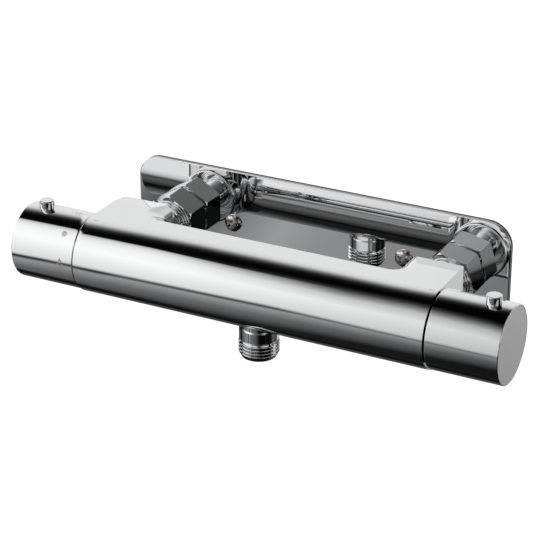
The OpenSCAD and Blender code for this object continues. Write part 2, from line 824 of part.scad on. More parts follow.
module check_valve_seals() {
    ring_r = check_r - check_groove_depth + check_seal_r + fit_clear / 2;
    color("black") for (side = [-1, 1]) on_inlet(side)
        torus(ring_r, min(check_seal_r, (pocket_d / 2 - ring_r)), check_back + check_len / 2);
}

module check_poppet(side) {
    color("white") on_inlet(side) {
        rod(poppet_d / 2, poppet_at, poppet_at + poppet_t);
        rod(poppet_stem_d / 2, poppet_at, poppet_tip);
    }
}

module check_spring(side) {
    color("gray") on_inlet(side)
        coil(poppet_stem_d / 2 + spring_wire_r + free_clear, spring_wire_r,
             poppet_at + poppet_t, guide_at, 4);
}

// Outlet

module outlet_nipple() {
    color("silver") on_outlet() difference() {
        union() {
            rod(thread_root_r - fit_clear, outlet_top, outlet_seat_drop);
            bevelled_rod(outlet_collar_d / 2, outlet_seal_wire_r, outlet_seat_drop, outlet_thread_top);
            rod(thread_root_r, outlet_thread_top - over, outlet_drop - outlet_chamfer);
            thread_ridges(outlet_thread_top, outlet_drop - outlet_chamfer / 2);
            translate([0, 0, outlet_drop - outlet_chamfer])
                cylinder(r1 = thread_root_r, r2 = thread_root_r - outlet_chamfer, h = outlet_chamfer);
        }
        rod(outlet_bore_d / 2, outlet_top - over, outlet_drop + over);
        pipe(thread_r, thread_root_r - fit_clear - 2 * outlet_seal_wire_r,
             outlet_seal_at - outlet_seal_wire_r - fit_clear,
             outlet_seal_at + outlet_seal_wire_r + fit_clear);
    }
}

module outlet_seal() {
    color("black") on_outlet()
        torus(thread_root_r - fit_clear - outlet_seal_wire_r, outlet_seal_wire_r, outlet_seal_at);
}

// Tube for the mixed water, from the thermostat to the flow cartridge

module mix_tube() {
    groove_at = -web_face - mix_web / 2;
    color("darkkhaki") on_bar(-1) difference() {
        union() {
            rod(mix_tube_r, -mix_tube_end, seat_start - mix_flange_t);
            rod(mix_flange_r, seat_start - mix_flange_t, seat_start);
        }
        rod(mix_tube_in_r, -mix_tube_end - over, seat_start + over);
        pipe(mix_flange_r, mix_tube_r - mix_groove_depth / 2,
             groove_at - mix_seal_wire_r, groove_at + mix_seal_wire_r);
    }
}

module mix_tube_seal() {
    wire = (mix_groove_depth / 2 + run_clear) / 2;
    color("black") on_bar(-1)
        torus(mix_tube_r - mix_groove_depth / 2 + wire, wire, -web_face - mix_web / 2);
}

// Flow cartridge

module flow_cartridge_body() {
    color("goldenrod") on_bar(-1) difference() {
        union() {
            rod(slim_r, seat_start, slim_end);
            rod(flow_thread_r, slim_end, flow_hex_start);
            translate([0, 0, flow_hex_start])
                cylinder(r = flow_hex_r, h = flow_hex_end - flow_hex_start, $fn = 6);
            rod(nose_r, flow_hex_start, nose_end);
        }
        rod(disc_chamber_r, seat_start - over, disc_chamber_end);
        rod(spindle_r + run_clear, disc_chamber_end - over, nose_end + over);
        for (turn = [0, 90]) rotate([0, 0, turn])
            translate([-flow_bore_d / 2, -window_w / 2, upper_disc_start])
                cube([flow_bore_d, window_w, foot_end - upper_disc_start]);
        pipe(flow_bore_d, flow_thread_r - flow_groove_depth, flow_seal_at - flow_seal_wire_r,
             flow_seal_at + flow_seal_wire_r);
    }
}

module flow_cartridge_seal() {
    wire = (flow_groove_depth + fit_clear) / 2;
    color("black") on_bar(-1)
        torus(flow_thread_r - flow_groove_depth + wire, wire, flow_seal_at);
}

module flow_rubber_seat() {
    color("black") on_bar(-1)
        pipe(lower_disc_r, mix_tube_in_r, seat_start, lower_disc_start);
}

module flow_lower_disc() {
    color("white") on_bar(-1) difference() {
        rod(lower_disc_r, lower_disc_start, lower_disc_start + disc_t);
        for (turn = [90, 270]) rotate([0, 0, turn]) translate([port_offset, 0, 0])
            rod(port_r, lower_disc_start - over, lower_disc_start + disc_t + over);
    }
}

module flow_upper_disc() {
    color("whitesmoke") on_bar(-1) difference() {
        rod(upper_disc_r, upper_disc_start, foot_start);
        // two gaps that open the ports after a quarter turn, and the slot for the spindle's foot
        for (turn = [0, 180]) rotate([0, 0, turn])
            translate([port_offset - port_r, -port_r, upper_disc_start - over])
                cube([upper_disc_r, 2 * port_r, disc_t + 2 * over]);
        translate([-foot_w / 2 - fit_clear, -lower_disc_r, foot_start - foot_depth])
            cube([foot_w + 2 * fit_clear, 2 * lower_disc_r, disc_t]);
    }
}

// Splined end of a spindle: round, with two flats, and drilled for the knob's screw
module spindle_end_form(from) {
    difference() {
        rod(spindle_r, from, spindle_end);
        for (flat = [-1, 1]) translate([flat * (1 + flats_share) * spindle_r, 0, hub_start])
            translate([-spindle_r, -spindle_r, 0])
                cube([2 * spindle_r, 2 * spindle_r, spindle_end]);
        rod(screw_r + fit_clear, spindle_end - screw_hole_len, spindle_end + over);
        pipe(2 * spindle_r, spindle_r - clip_groove_depth, clip_start - fit_clear,
             clip_start + clip_t + fit_clear);
    }
}

module spindle_seal_groove(at) {
    pipe(2 * spindle_r, spindle_r - spindle_groove_depth, at - spindle_seal_wire_r,
         at + spindle_seal_wire_r);
}

module spindle_seal(at) {
    wire = (spindle_groove_depth + run_clear / 2) / 2;
    torus(spindle_r - spindle_groove_depth + wire, wire, at);
}

module spindle_clip() {
    difference() {
        pipe(spindle_r - clip_groove_depth + clip_width, spindle_r - clip_groove_depth + fit_clear,
             clip_start, clip_start + clip_t);
        translate([0, -clip_width / 2, clip_start - over])
            cube([2 * spindle_r, clip_width, clip_t + 2 * over]);
    }
}

module flow_spindle() {
    color("goldenrod") on_bar(-1) difference() {
        union() {
            intersection() {
                rod(foot_r, foot_start - foot_depth + fit_clear, foot_end);
                translate([-foot_w / 2, -foot_r, foot_start - foot_depth])
                    cube([foot_w, 2 * foot_r, foot_depth + disc_t]);
            }
            spindle_end_form(foot_start);
        }
        spindle_seal_groove(flow_hex_start);
    }
}

module flow_spindle_seal() {
    color("black") on_bar(-1) spindle_seal(flow_hex_start);
}

module flow_spindle_clip() {
    color("gray") on_bar(-1) spindle_clip();
}

// Stop ring on a cartridge's nose: its lug fills the angles that the latch never reaches
module stop_ring(lug_from, lug_to) {
    mid = (lug_from + lug_to) / 2;
    pipe(stop_ring_r, nose_r + fit_clear, stop_ring_start, stop_ring_end);
    intersection() {
        pipe(lug_r, stop_ring_r - over, stop_ring_start, stop_ring_end);
        translate([0, 0, stop_ring_start]) linear_extrude(stop_ring_end - stop_ring_start)
            polygon([[0, 0],
                     lug_reach * [cos(lug_from), sin(lug_from)],
                     lug_reach * [cos(mid), sin(mid)],
                     lug_reach * [cos(lug_to), sin(lug_to)]]);
    }
}

module flow_stop_ring() {
    color("darkorange") on_bar(-1) stop_ring(lug_margin, 360 - flow_turn - lug_margin);
}

// Knobs

module knob_shell() {
    difference() {
        bevelled_rod(knob_r, knob_bevel, knob_start, knob_end);
        rod(knob_in_r, knob_start - over, web_start);
        rod(knob_r - cap_rim, cap_start, knob_end + over);
        rod(screw_r + face_clear, web_start - over, cap_start + over);
        rod(knob_screw_head_r + face_clear, cap_start - knob_screw_head_h - face_clear, cap_start + over);
        translate([0, 0, button_at]) rotate([0, 90, 0])
            cylinder(r = button_r + run_clear, h = button_top);
    }
}

module knob_cap() {
    rod(knob_r - cap_rim - fit_clear, cap_start, knob_end - fit_clear);
}

module knob_hub() {
    hub_r = hub_d / 2;
    difference() {
        union() {
            rod(hub_r, hub_start, web_start - face_clear);
            intersection() {
                rod(knob_in_r - fit_clear, hub_rib_start, web_start - face_clear);
                union() for (turn = [60, 120]) rotate([0, 0, turn])
                    translate([-knob_r, -rib_t / 2, hub_rib_start])
                        cube([2 * knob_r, rib_t, web_start - hub_rib_start]);
            }
            translate([0, 0, button_at]) rotate([0, 90, 0]) rod(cup_r, 0, cup_top);
        }
        rod(spindle_r + fit_clear, hub_start - over, spline_end);
        rod(screw_r + fit_clear, spline_end - over, web_start + over);
        translate([0, 0, button_at]) rotate([0, 90, 0]) rod(cup_in_r, button_spring_floor, button_top);
    }
}

module knob_screw() {
    head_end = cap_start - face_clear / 2;
    difference() {
        union() {
            rod(screw_r, spindle_end - screw_hole_len + over, head_end);
            rod(knob_screw_head_r, head_end - knob_screw_head_h, head_end);
        }
        translate([0, 0, head_end - hex_key_depth])
            cylinder(r = hex_key_r, h = hex_key_depth + over, $fn = 6);
    }
}

module button() {
    translate([0, 0, button_at]) rotate([0, 90, 0]) {
        rod(button_flange_r, button_low, button_low + button_flange_t);
        rod(button_r, button_low, button_top - button_round);
        translate([0, 0, button_top - button_round])
            cylinder(r1 = button_r, r2 = button_r - button_round, h = button_round);
    }
}

// Latch under the button: a ring that the button presses on, and an arm towards the stop ring
module button_latch() {
    translate([0, 0, button_at]) rotate([0, 90, 0])
        rod(button_flange_r, latch_low, button_low);
    translate([latch_low, -latch_w / 2, latch_start])
        cube([latch_t, latch_w, button_at - latch_start]);
}

module button_spring() {
    translate([0, 0, button_at]) rotate([0, 90, 0])
        coil(button_spring_r, spring_wire_r, button_spring_floor, latch_low, 4);
}

module flow_knob_shell() { color("gainsboro") on_bar(-1) knob_shell(); }
module flow_knob_hub() { color("dimgray") on_bar(-1) knob_hub(); }
module flow_knob_screw() { color("silver") on_bar(-1) knob_screw(); }
module flow_knob_cap() { color("lightgray") on_bar(-1) knob_cap(); }
module flow_button() { color("gainsboro") on_bar(-1) button(); }
module flow_button_latch() { color("ivory") on_bar(-1) button_latch(); }
module flow_button_spring() { color("gray") on_bar(-1) button_spring(); }
module temperature_knob_shell() { color("gainsboro") on_bar(1) knob_shell(); }
module temperature_knob_hub() { color("dimgray") on_bar(1) knob_hub(); }
module temperature_knob_screw() { color("silver") on_bar(1) knob_screw(); }
module temperature_knob_cap() { color("lightgray") on_bar(1) knob_cap(); }
module temperature_button() { color("gainsboro") on_bar(1) button(); }
module temperature_button_latch() { color("ivory") on_bar(1) button_latch(); }
module temperature_button_spring() { color("gray") on_bar(1) button_spring(); }

// Thermostatic cartridge

module thermostat_housing() {
    color("slategray") on_bar(1) difference() {
        rod(housing_r, housing_start, housing_end);
        rod(housing_in_r, housing_floor, housing_end + over);
        rod(mix_tube_in_r, housing_start - over, housing_floor + over);
        pipe(thermo_bore_d, water_groove_r, hot_groove_start, hot_groove_end);
        pipe(thermo_bore_d, water_groove_r, cold_groove_start, cold_groove_end);
        for (at = seal_stations) pipe(thermo_bore_d, seal_groove_r, at, at + seal_groove_w);
        for (i = [0 : slot_count - 1], at = [hot_slot_start, cold_slot_start])
            rotate([0, 0, i * 360 / slot_count])
                translate([0, -slot_w / 2, at]) cube([thermo_bore_d, slot_w, slot_l]);
        // keyways that keep the adjusting nut from turning
        translate([-adjust_key_reach - face_clear, -adjust_key_w / 2 - face_clear,
                   adjust_flange_start - cold_travel - free_clear])
            cube([2 * (adjust_key_reach + face_clear), adjust_key_w + 2 * face_clear, housing_r]);
    }
}

module thermostat_housing_seals() {
    ring_wire = (thermo_bore_d / 2 - seal_groove_r) / 2;
    color("black") on_bar(1) for (at = seal_stations)
        torus(seal_groove_r + ring_wire, ring_wire, at + seal_groove_w / 2);
}

module thermostat_retaining_nut() {
    key_r = 1.6;
    color("goldenrod") on_bar(1) difference() {
        union() {
            rod(retainer_r, retainer_start, retainer_end);
            rod(nose_r, retainer_start, nose_end);
        }
        rod(spindle_r + run_clear, retainer_start - over, nose_end + over);
        for (turn = [0 : 90 : 270]) rotate([0, 0, turn + 45])
            translate([(nose_r + retainer_r) / 2, 0, 0])
                rod(key_r, retainer_end - key_r, retainer_end + over);
    }
}

module regulating_piston() {
    color("khaki") on_bar(1) difference() {
        rod(piston_r, piston_start, piston_end);
        difference() {
            rod(piston_in_r, piston_start - over, piston_end + over);
            rod(piston_in_r + over, piston_web_start, piston_web_start + piston_web_t);
        }
        rod(capsule_r + fit_clear, piston_web_start - over, piston_web_start + piston_web_t + over);
        for (i = [0 : slot_count - 1]) rotate([0, 0, i * 360 / slot_count])
            translate([(piston_in_r + piston_hub_r) / 2, 0, 0])
                rod((piston_in_r - piston_hub_r) / 2 - face_clear, piston_web_start - over,
                    piston_web_start + piston_web_t + over);
        pipe(2 * piston_r, piston_r - spindle_groove_depth,
             piston_seal_at - spindle_seal_wire_r, piston_seal_at + spindle_seal_wire_r);
    }
}

module regulating_piston_seal() {
    wire = (spindle_groove_depth + run_clear / 2) / 2;
    color("black") on_bar(1)
        torus(piston_r - spindle_groove_depth + wire, wire, piston_seal_at);
}

module wax_element() {
    flange_start = piston_web_start + piston_web_t;
    color("darkgoldenrod") on_bar(1) {
        rod(capsule_r, capsule_start, flange_start + capsule_flange_t);
        rod(capsule_flange_r, flange_start, flange_start + capsule_flange_t);
        rod(capsule_nose_r, flange_start, capsule_nose_end);
        rod(piston_pin_r, flange_start, pin_end);
    }
}

module piston_return_spring() {
    color("gray") on_bar(1)
        coil(return_spring_r, return_spring_wire_r, housing_floor, piston_web_start, 5);
}

module adjusting_nut() {
    color("darkkhaki") on_bar(1) difference() {
        union() {
            rod(adjust_flange_r, adjust_flange_start, adjust_flange_start + adjust_flange_t);
            translate([-adjust_key_reach, -adjust_key_w / 2, adjust_flange_start])
                cube([2 * adjust_key_reach, adjust_key_w, adjust_flange_t]);
            rod(adjust_body_r, adjust_flange_start, adjust_end);
        }
        rod(piston_pin_r + run_clear, adjust_flange_start - over, adjust_end);
        rod(adjust_in_r, adjust_flange_start + adjust_floor_t, adjust_end + over);
    }
}

module overload_spring_seat() {
    color("silver") on_bar(1) rod(adjust_in_r - run_clear, pin_end, pin_end + overload_seat_t);
}

module overload_spring() {
    color("gray") on_bar(1)
        coil(overload_spring_r, overload_wire_r, pin_end + overload_seat_t, adjust_end - plug_t, 3);
}

module overload_spring_plug() {
    color("silver") on_bar(1)
        pipe(adjust_in_r - run_clear, piston_pin_r, adjust_end - plug_t, adjust_end);
}

module temperature_spindle() {
    color("goldenrod") on_bar(1) difference() {
        union() {
            rod(spindle_cup_r, cup_start, cup_end);
            rod(thrust_r, thrust_start, housing_end - face_clear);
            spindle_end_form(thrust_start);
        }
        rod(adjust_body_r + run_clear, cup_start - over,
            adjust_end + hot_travel + free_clear);
        spindle_seal_groove((retainer_start + retainer_end) / 2);
    }
}

module temperature_spindle_seal() {
    color("black") on_bar(1) spindle_seal((retainer_start + retainer_end) / 2);
}

module temperature_spindle_clip() {
    color("gray") on_bar(1) spindle_clip();
}

module temperature_stop_ring() {
    color("crimson") on_bar(1) stop_ring(cold_turn + lug_margin, 360 - hot_turn - lug_margin);
}

valve_body();
wall_plate();
wall_screws();
wall_nipples();
nipple_flange_seals();
union_tails();
union_washers();
inlet_strainers();
union_nut(-1, left_nut_angle);  // hot_union_nut
union_nut(1, right_nut_angle);  // cold_union_nut
check_valve_housings();
check_valve_seals();
check_poppet(-1);  // hot_check_poppet
check_poppet(1);  // cold_check_poppet
check_spring(-1);  // hot_check_spring
check_spring(1);  // cold_check_spring
outlet_nipple();
outlet_seal();
mix_tube();
mix_tube_seal();
flow_cartridge_body();
flow_cartridge_seal();
flow_rubber_seat();
flow_lower_disc();
flow_upper_disc();
flow_spindle();
flow_spindle_seal();
flow_spindle_clip();
flow_stop_ring();
flow_knob_shell();
flow_knob_hub();
flow_knob_screw();
flow_knob_cap();
flow_button();
flow_button_latch();
flow_button_spring();
thermostat_housing();
thermostat_housing_seals();
thermostat_retaining_nut();
regulating_piston();
regulating_piston_seal();
wax_element();
piston_return_spring();
adjusting_nut();
overload_spring();
overload_spring_seat();
overload_spring_plug();
temperature_spindle();
temperature_spindle_seal();
temperature_spindle_clip();
temperature_stop_ring();
temperature_knob_shell();
temperature_knob_hub();
temperature_knob_screw();
temperature_knob_cap();
temperature_button();
temperature_button_latch();
temperature_button_spring();
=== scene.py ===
import math

import bmesh
import bpy
from mathutils import Matrix, Vector


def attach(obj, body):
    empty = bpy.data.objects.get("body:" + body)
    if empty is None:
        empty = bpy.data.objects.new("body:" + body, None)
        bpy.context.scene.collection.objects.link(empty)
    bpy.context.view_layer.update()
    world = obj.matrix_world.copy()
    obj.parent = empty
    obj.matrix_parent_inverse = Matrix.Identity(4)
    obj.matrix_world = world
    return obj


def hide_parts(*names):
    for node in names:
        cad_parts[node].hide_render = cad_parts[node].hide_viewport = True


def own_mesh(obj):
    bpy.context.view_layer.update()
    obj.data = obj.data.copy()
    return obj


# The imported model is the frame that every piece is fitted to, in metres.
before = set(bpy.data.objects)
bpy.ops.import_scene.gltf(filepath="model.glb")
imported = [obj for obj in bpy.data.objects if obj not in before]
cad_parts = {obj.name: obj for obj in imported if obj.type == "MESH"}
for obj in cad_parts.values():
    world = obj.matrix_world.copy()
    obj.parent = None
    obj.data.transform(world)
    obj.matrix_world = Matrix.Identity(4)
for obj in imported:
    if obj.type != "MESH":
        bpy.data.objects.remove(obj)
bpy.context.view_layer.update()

# The camera stands above and to the right of the valve, a metre away, and looks down on
# the bar through a long lens.
CAMERA_PLACE = Vector((0.4063, -0.8497, 0.4230))
CAMERA_YAW = math.radians(27.13)
CAMERA_PITCH = math.radians(25.125)
LENS_MM = 130.65
SENSOR_MM = 36

lens = bpy.data.cameras.new("product_camera")
lens.lens = LENS_MM
lens.sensor_width = SENSOR_MM
lens.clip_start = 0.01
camera = bpy.data.objects.new("product_camera", lens)
camera.location = CAMERA_PLACE
camera.rotation_euler = (math.pi / 2 - CAMERA_PITCH, 0, CAMERA_YAW)
bpy.context.scene.collection.objects.link(camera)
bpy.context.scene.camera = camera
bpy.context.scene.view_settings.view_transform = "Standard"
# the polished plate and the chromed bar mirror each other several times over
bpy.context.scene.cycles.glossy_bounces = 10

# The studio is a white room, and chrome shows it as long bands along the bar. Its light is
# drawn as ramps of (angle round the bar's axis in degrees, brightness): 0 is overhead, 90 in
# front, 180 below and -90 behind. The stops are fitted to tones and edges measured in the
# photo's chrome.
# A long softbox in front: its face, how it dims downwards and its end above the table.
SOFTBOX_FRONT = ((12, 0.42), (18, 0.5), (22, 0.7), (28, 0.85), (38, 0.97), (60, 1.05))
SOFTBOX_LOWER = ((60, 1), (112, 0.72))
SOFTBOX_END = ((99, 1), (103, 0.73), (105, 0.38), (107, 0.15), (109, 0))
# A black flag overhead: its front edge where it looks sharp and where it looks soft, and its
# back edge.
SHARP_FLAG = ((-2, 0.004), (13, 0.006), (14.8, 0.03), (15.6, 0.12), (17.4, 0.9), (19, 1))
SOFT_FLAG = ((4, 0.004), (9, 0.03), (14, 0.1), (28, 0.42), (37, 0.74), (58, 1))
FLAG_BACK = ((-55, 1), (-43, 0.94), (-34, 0.8), (-22, 0.19), (-16, 0.05), (-10, 0.008), (0, 0))
# A grey table below, which darkens downwards, and a pale card behind.
TABLE_START = 108
TABLE_BAND = ((105, 0), (108, 0.06), (114, 0.34), (118, 0.29), (136, 0.15), (170, 0.033),
              (180, 0.012))
SHADE_TINT = (0.955, 0.98, 1)
BACK_BAND = ((-180, 0.012), (-163, 0.001), (-139, 0.09), (-128, 0.06), (-124, 0.2),
             (-118, 0.5), (-103, 0.73))
# A weak fill above and in front, for looks from the other sides.
FILL_BAND = ((-20, 0), (-8, 0.35), (10, 0.5), (28, 0.4), (38, 0), (70, 0), (80, 0.45),
             (98, 0.4), (108, 0))
# The same things sideways, as (sideways part of the direction, value). How bright each is:
SOFTBOX_FADE = ((-0.53, 1), (-0.46, 0.98), (-0.1, 0.26), (0.13, 0.13), (0.35, 0.08),
                (0.55, 0.06), (0.8, 0.5))
TABLE_FADE = ((-0.6, 0.95), (-0.41, 1), (-0.3, 0.7), (-0.15, 0.6), (0.3, 0.18), (0.37, 0.02),
              (0.76, 0.02), (0.84, 0.3))
BACK_FADE = ((0.4, 1.1), (0.46, 0.28), (0.6, 0.28), (0.7, 1.1))
FILL_SIDE = ((-0.2, 0), (-0.1, 1), (0.2, 1), (0.35, 0))
# how much of the flag's front edge is sharp, and how fast the table darkens:
SHARP_PART = ((-0.46, 1), (-0.375, 0))
MOST_STRETCH = 2
TABLE_STRETCH = ((-0.52, 0.82), (-0.41, 1), (-0.3, 1.65))
# and how far an edge turns, in degrees: the softbox's end, the table's start, and the front
# and the back edge of the flag.
MOST_TURN = 25
SOFTBOX_END_TURN = ((-0.6, 0), (-0.54, 15), (-0.526, 15), (-0.514, 12), (-0.41, -1.3),
                    (-0.33, 0))
TABLE_START_TURN = ((-0.6, 0), (-0.54, 19), (-0.526, 19), (-0.503, 12.5), (-0.49, 12.7),
                    (-0.478, 8.5), (-0.395, -2))
FRONT_EDGE_TURN = ((-0.526, -7.7), (-0.5003, -10.3), (-0.4993, 0.3), (-0.469, -2.2),
                   (-0.43, 0), (-0.377, -1), (-0.344, -5), (-0.304, 0), (-0.298, 4))
BACK_EDGE_TURN = ((-0.526, -7.7), (-0.5, -13.6), (-0.499, 6), (-0.45, -2.5), (-0.355, -6),
                  (-0.3365, -9), (-0.333, -13), (-0.304, -15.5), (-0.298, -20))

world = bpy.data.worlds.new("studio")
bpy.context.scene.world = world
world.use_nodes = True
nodes = world.node_tree.nodes
links = world.node_tree.links
nodes.clear()


def math_node(operation, *values):
    """One sum in the node tree whose nodes and links were taken last."""
    node = nodes.new("ShaderNodeMath")
    node.operation = operation
    for socket, value in zip(node.inputs, values):
        if isinstance(value, (int, float)):
            socket.default_value = value
        else:
            links.new(value, socket)
    return node.outputs[0]


direction = nodes.new("ShaderNodeSeparateXYZ")
links.new(nodes.new("ShaderNodeTexCoord").outputs["Generated"], direction.inputs[0])
side, depth, up = direction.outputs
angle = math_node("DEGREES", math_node("ARCTAN2", math_node("MULTIPLY", depth, -1), up))


def band(stops, position, tint=(1, 1, 1)):
    """A ramp over position with the given stops. Past its ends it keeps their values."""
    low, high = stops[0][0], stops[-1][0]
    share = math_node("DIVIDE", math_node("SUBTRACT", position, low), high - low)
    ramp = nodes.new("ShaderNodeValToRGB")
    links.new(share, ramp.inputs[0])
    elements = ramp.color_ramp.elements
    while len(elements) < len(stops):
        elements.new(0.5)
    for element, (place, value) in zip(elements, stops):
        element.position = (place - low) / (high - low)
        element.color = (*(value * part for part in tint), 1)
    return ramp.outputs[0]


def turn_of(stops):
    """The angle less the turn that the stops give at this side."""
    share = band([(place, 0.5 + turn / MOST_TURN / 2) for place, turn in stops], side)
    return math_node("SUBTRACT", angle,
                     math_node("MULTIPLY", math_node("SUBTRACT", share, 0.5), 2 * MOST_TURN))


def scaled(colour, *factors):
    """The colour times every factor."""
    node = nodes.new("ShaderNodeVectorMath")
    node.operation = "MULTIPLY"
    links.new(colour, node.inputs[0])
    links.new(factors[0], node.inputs[1])
    return node.outputs[0] if len(factors) == 1 else scaled(node.outputs[0], *factors[1:])


def added(first, second):
    """The sum of two colours."""
    node = nodes.new("ShaderNodeVectorMath")
    node.operation = "ADD"
    links.new(first, node.inputs[0])
    links.new(second, node.inputs[1])
    return node.outputs[0]


front_edge = turn_of(FRONT_EDGE_TURN)
sharp_part = band(SHARP_PART, side)
soft_part = band([(place, 1 - part) for place, part in SHARP_PART], side)
front_flag = added(scaled(band(SHARP_FLAG, front_edge), sharp_part),
                   scaled(band(SOFT_FLAG, front_edge), soft_part))
softbox = scaled(band(SOFTBOX_FRONT, front_edge), band(SOFTBOX_LOWER, angle),
                 band(SOFTBOX_END, turn_of(SOFTBOX_END_TURN)), front_flag,
                 band(SOFTBOX_FADE, side))
# the ramp holds the stretch as a share of the most that it can be, as turn_of does
stretch = band([(place, value / MOST_STRETCH) for place, value in TABLE_STRETCH], side)
past_start = math_node("SUBTRACT", turn_of(TABLE_START_TURN), TABLE_START)
deep = math_node("MULTIPLY", math_node("MULTIPLY", past_start, stretch), MOST_STRETCH)
table = scaled(band(TABLE_BAND, math_node("ADD", deep, TABLE_START), SHADE_TINT),
               band(TABLE_FADE, side))
behind = scaled(band(BACK_BAND, angle), band(FLAG_BACK, turn_of(BACK_EDGE_TURN)),
                band(BACK_FADE, side))
above = scaled(band(FILL_BAND, angle), band(FILL_SIDE, side))
studio = added(added(softbox, table), added(behind, above))
# the camera itself sees plain white
seen = nodes.new("ShaderNodeBackground")
seen.inputs["Color"].default_value = (1, 1, 1, 1)
light = nodes.new("ShaderNodeBackground")
links.new(studio, light.inputs["Color"])
mix = nodes.new("ShaderNodeMixShader")
links.new(nodes.new("ShaderNodeLightPath").outputs["Is Camera Ray"], mix.inputs[0])
links.new(light.outputs[0], mix.inputs[1])
links.new(seen.outputs[0], mix.inputs[2])
links.new(mix.outputs[0], nodes.new("ShaderNodeOutputWorld").inputs["Surface"])

# The floor is a plain pale sheet under the valve. It glows, so that it stays white and
# still takes the valve's shadow. The chrome and a look from below see through it.
FLOOR_HEIGHT = -0.45
FLOOR_SIZE = 4.0
FLOOR_GLOW = 0.82

bm = bmesh.new()
bmesh.ops.create_grid(bm, x_segments=1, y_segments=1, size=FLOOR_SIZE / 2)
bmesh.ops.translate(bm, verts=bm.verts, vec=(0, 0, FLOOR_HEIGHT))
floor_mesh = bpy.data.meshes.new("floor")
bm.to_mesh(floor_mesh)
bm.free()
floor = bpy.data.objects.new("floor", floor_mesh)
bpy.context.scene.collection.objects.link(floor)

floor_paint = bpy.data.materials.new("floor_paint")
floor_paint.use_nodes = True
nodes = floor_paint.node_tree.nodes
links = floor_paint.node_tree.links
nodes.clear()
path = nodes.new("ShaderNodeLightPath")
paper = nodes.new("ShaderNodeBsdfDiffuse")
paper.inputs["Color"].default_value = (0.9, 0.9, 0.9, 1)
white = nodes.new("ShaderNodeEmission")
white.inputs["Strength"].default_value = FLOOR_GLOW
lit = nodes.new("ShaderNodeAddShader")
links.new(paper.outputs[0], lit.inputs[0])
links.new(white.outputs[0], lit.inputs[1])
clear = nodes.new("ShaderNodeBsdfTransparent")
for_camera = nodes.new("ShaderNodeMixShader")
for_chrome = nodes.new("ShaderNodeMixShader")
links.new(path.outputs["Is Camera Ray"], for_camera.inputs[0])
links.new(paper.outputs[0], for_camera.inputs[1])
links.new(lit.outputs[0], for_camera.inputs[2])
from_below = nodes.new("ShaderNodeNewGeometry").outputs["Backfacing"]
links.new(math_node("MAXIMUM", path.outputs["Is Glossy Ray"], from_below), for_chrome.inputs[0])
links.new(for_camera.outputs[0], for_chrome.inputs[1])
links.new(clear.outputs[0], for_chrome.inputs[2])
links.new(for_chrome.outputs[0], nodes.new("ShaderNodeOutputMaterial").inputs["Surface"])
floor_mesh.materials.append(floor_paint)

# WALL PLATE. One sheet of mirror-polished steel, 2.6 mm thick, with rounded corners and a
# fine bevel round its front. It lies flat on the wall under two screws.
# Sizes are in millimetres. ROUND_STEPS, WELD and OVER serve every piece: WELD is the distance
# under which two corners are one, and OVER how far a cutting tool reaches past a face.
MM = 0.001
ROUND_STEPS = 96
WELD = 0.0005
OVER = 1
PLATE_W = 215
PLATE_H = 59.4
PLATE_T = 2.6
PLATE_CORNER = 13
PLATE_BEVEL = 0.7
INLET_X = 80
NIPPLE_HOLE_R = 10.58
SCREW_X = 49.7
SCREW_HOLE_R = 2.5
PLATE_LEAN = 1.1
WAVE_SCALE = 18


def metal(name, colour, roughness, grain, grain_scale, bump=0.0):
    """Bare or plated metal: its roughness varies in a fine grain, and bump adds the wave
    that a polished casting or sheet has."""
    paint = bpy.data.materials.new(name)
    paint.use_nodes = True
    nodes = paint.node_tree.nodes
    links = paint.node_tree.links
    shader = nodes["Principled BSDF"]
    shader.inputs["Base Color"].default_value = (*colour, 1)
    shader.inputs["Metallic"].default_value = 1
    place = nodes.new("ShaderNodeTexCoord")
    noise = nodes.new("ShaderNodeTexNoise")
    noise.inputs["Scale"].default_value = grain_scale
    noise.inputs["Detail"].default_value = 3
    links.new(place.outputs["Object"], noise.inputs["Vector"])
    spread = nodes.new("ShaderNodeMapRange")
    spread.inputs["To Min"].default_value = max(0.0, roughness - grain)
    spread.inputs["To Max"].default_value = roughness + grain
    links.new(noise.outputs[0], spread.inputs["Value"])
    links.new(spread.outputs[0], shader.inputs["Roughness"])
    if bump:
        wave = nodes.new("ShaderNodeBump")
        wave.inputs["Strength"].default_value = bump
        wave.inputs["Distance"].default_value = MM
        slow = nodes.new("ShaderNodeTexNoise")
        slow.inputs["Scale"].default_value = WAVE_SCALE
        slow.inputs["Detail"].default_value = 1
        links.new(place.outputs["Object"], slow.inputs["Vector"])
        links.new(slow.outputs[0], wave.inputs["Height"])
        links.new(wave.outputs[0], shader.inputs["Normal"])
    return paint


def close_up(bm, crease=12):
    """Merges doubles, turns the faces outwards and keeps edges over crease degrees sharp."""
    bmesh.ops.remove_doubles(bm, verts=bm.verts, dist=WELD)
    bmesh.ops.recalc_face_normals(bm, faces=bm.faces)
    for face in bm.faces:
        face.smooth = True
    for edge in bm.edges:
        if len(edge.link_faces) == 2:
            edge.smooth = edge.calc_face_angle(0) < math.radians(crease)


def piece(bm, name, paint, body, slot, *stands_for, place=Matrix.Identity(4)):
    """Makes the piece's object from a mesh in millimetres and lets it ride on its body."""
    bmesh.ops.transform(bm, matrix=Matrix.Scale(MM, 4) @ place, verts=bm.verts)
    bmesh.ops.recalc_face_normals(bm, faces=bm.faces)
    mesh = bpy.data.meshes.new(name)
    bm.to_mesh(mesh)
    bm.free()
    mesh.materials.append(paint)
    made = bpy.data.objects.new(name, mesh)
    bpy.context.scene.collection.objects.link(made)
    # large faces keep their own normals, so that a mirror-bright flat stays flat by its bevel
    even = made.modifiers.new("even_normals", "WEIGHTED_NORMAL")
    even.keep_sharp = True
    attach(made, body)
    if stands_for:
        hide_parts(*stands_for)
    return made


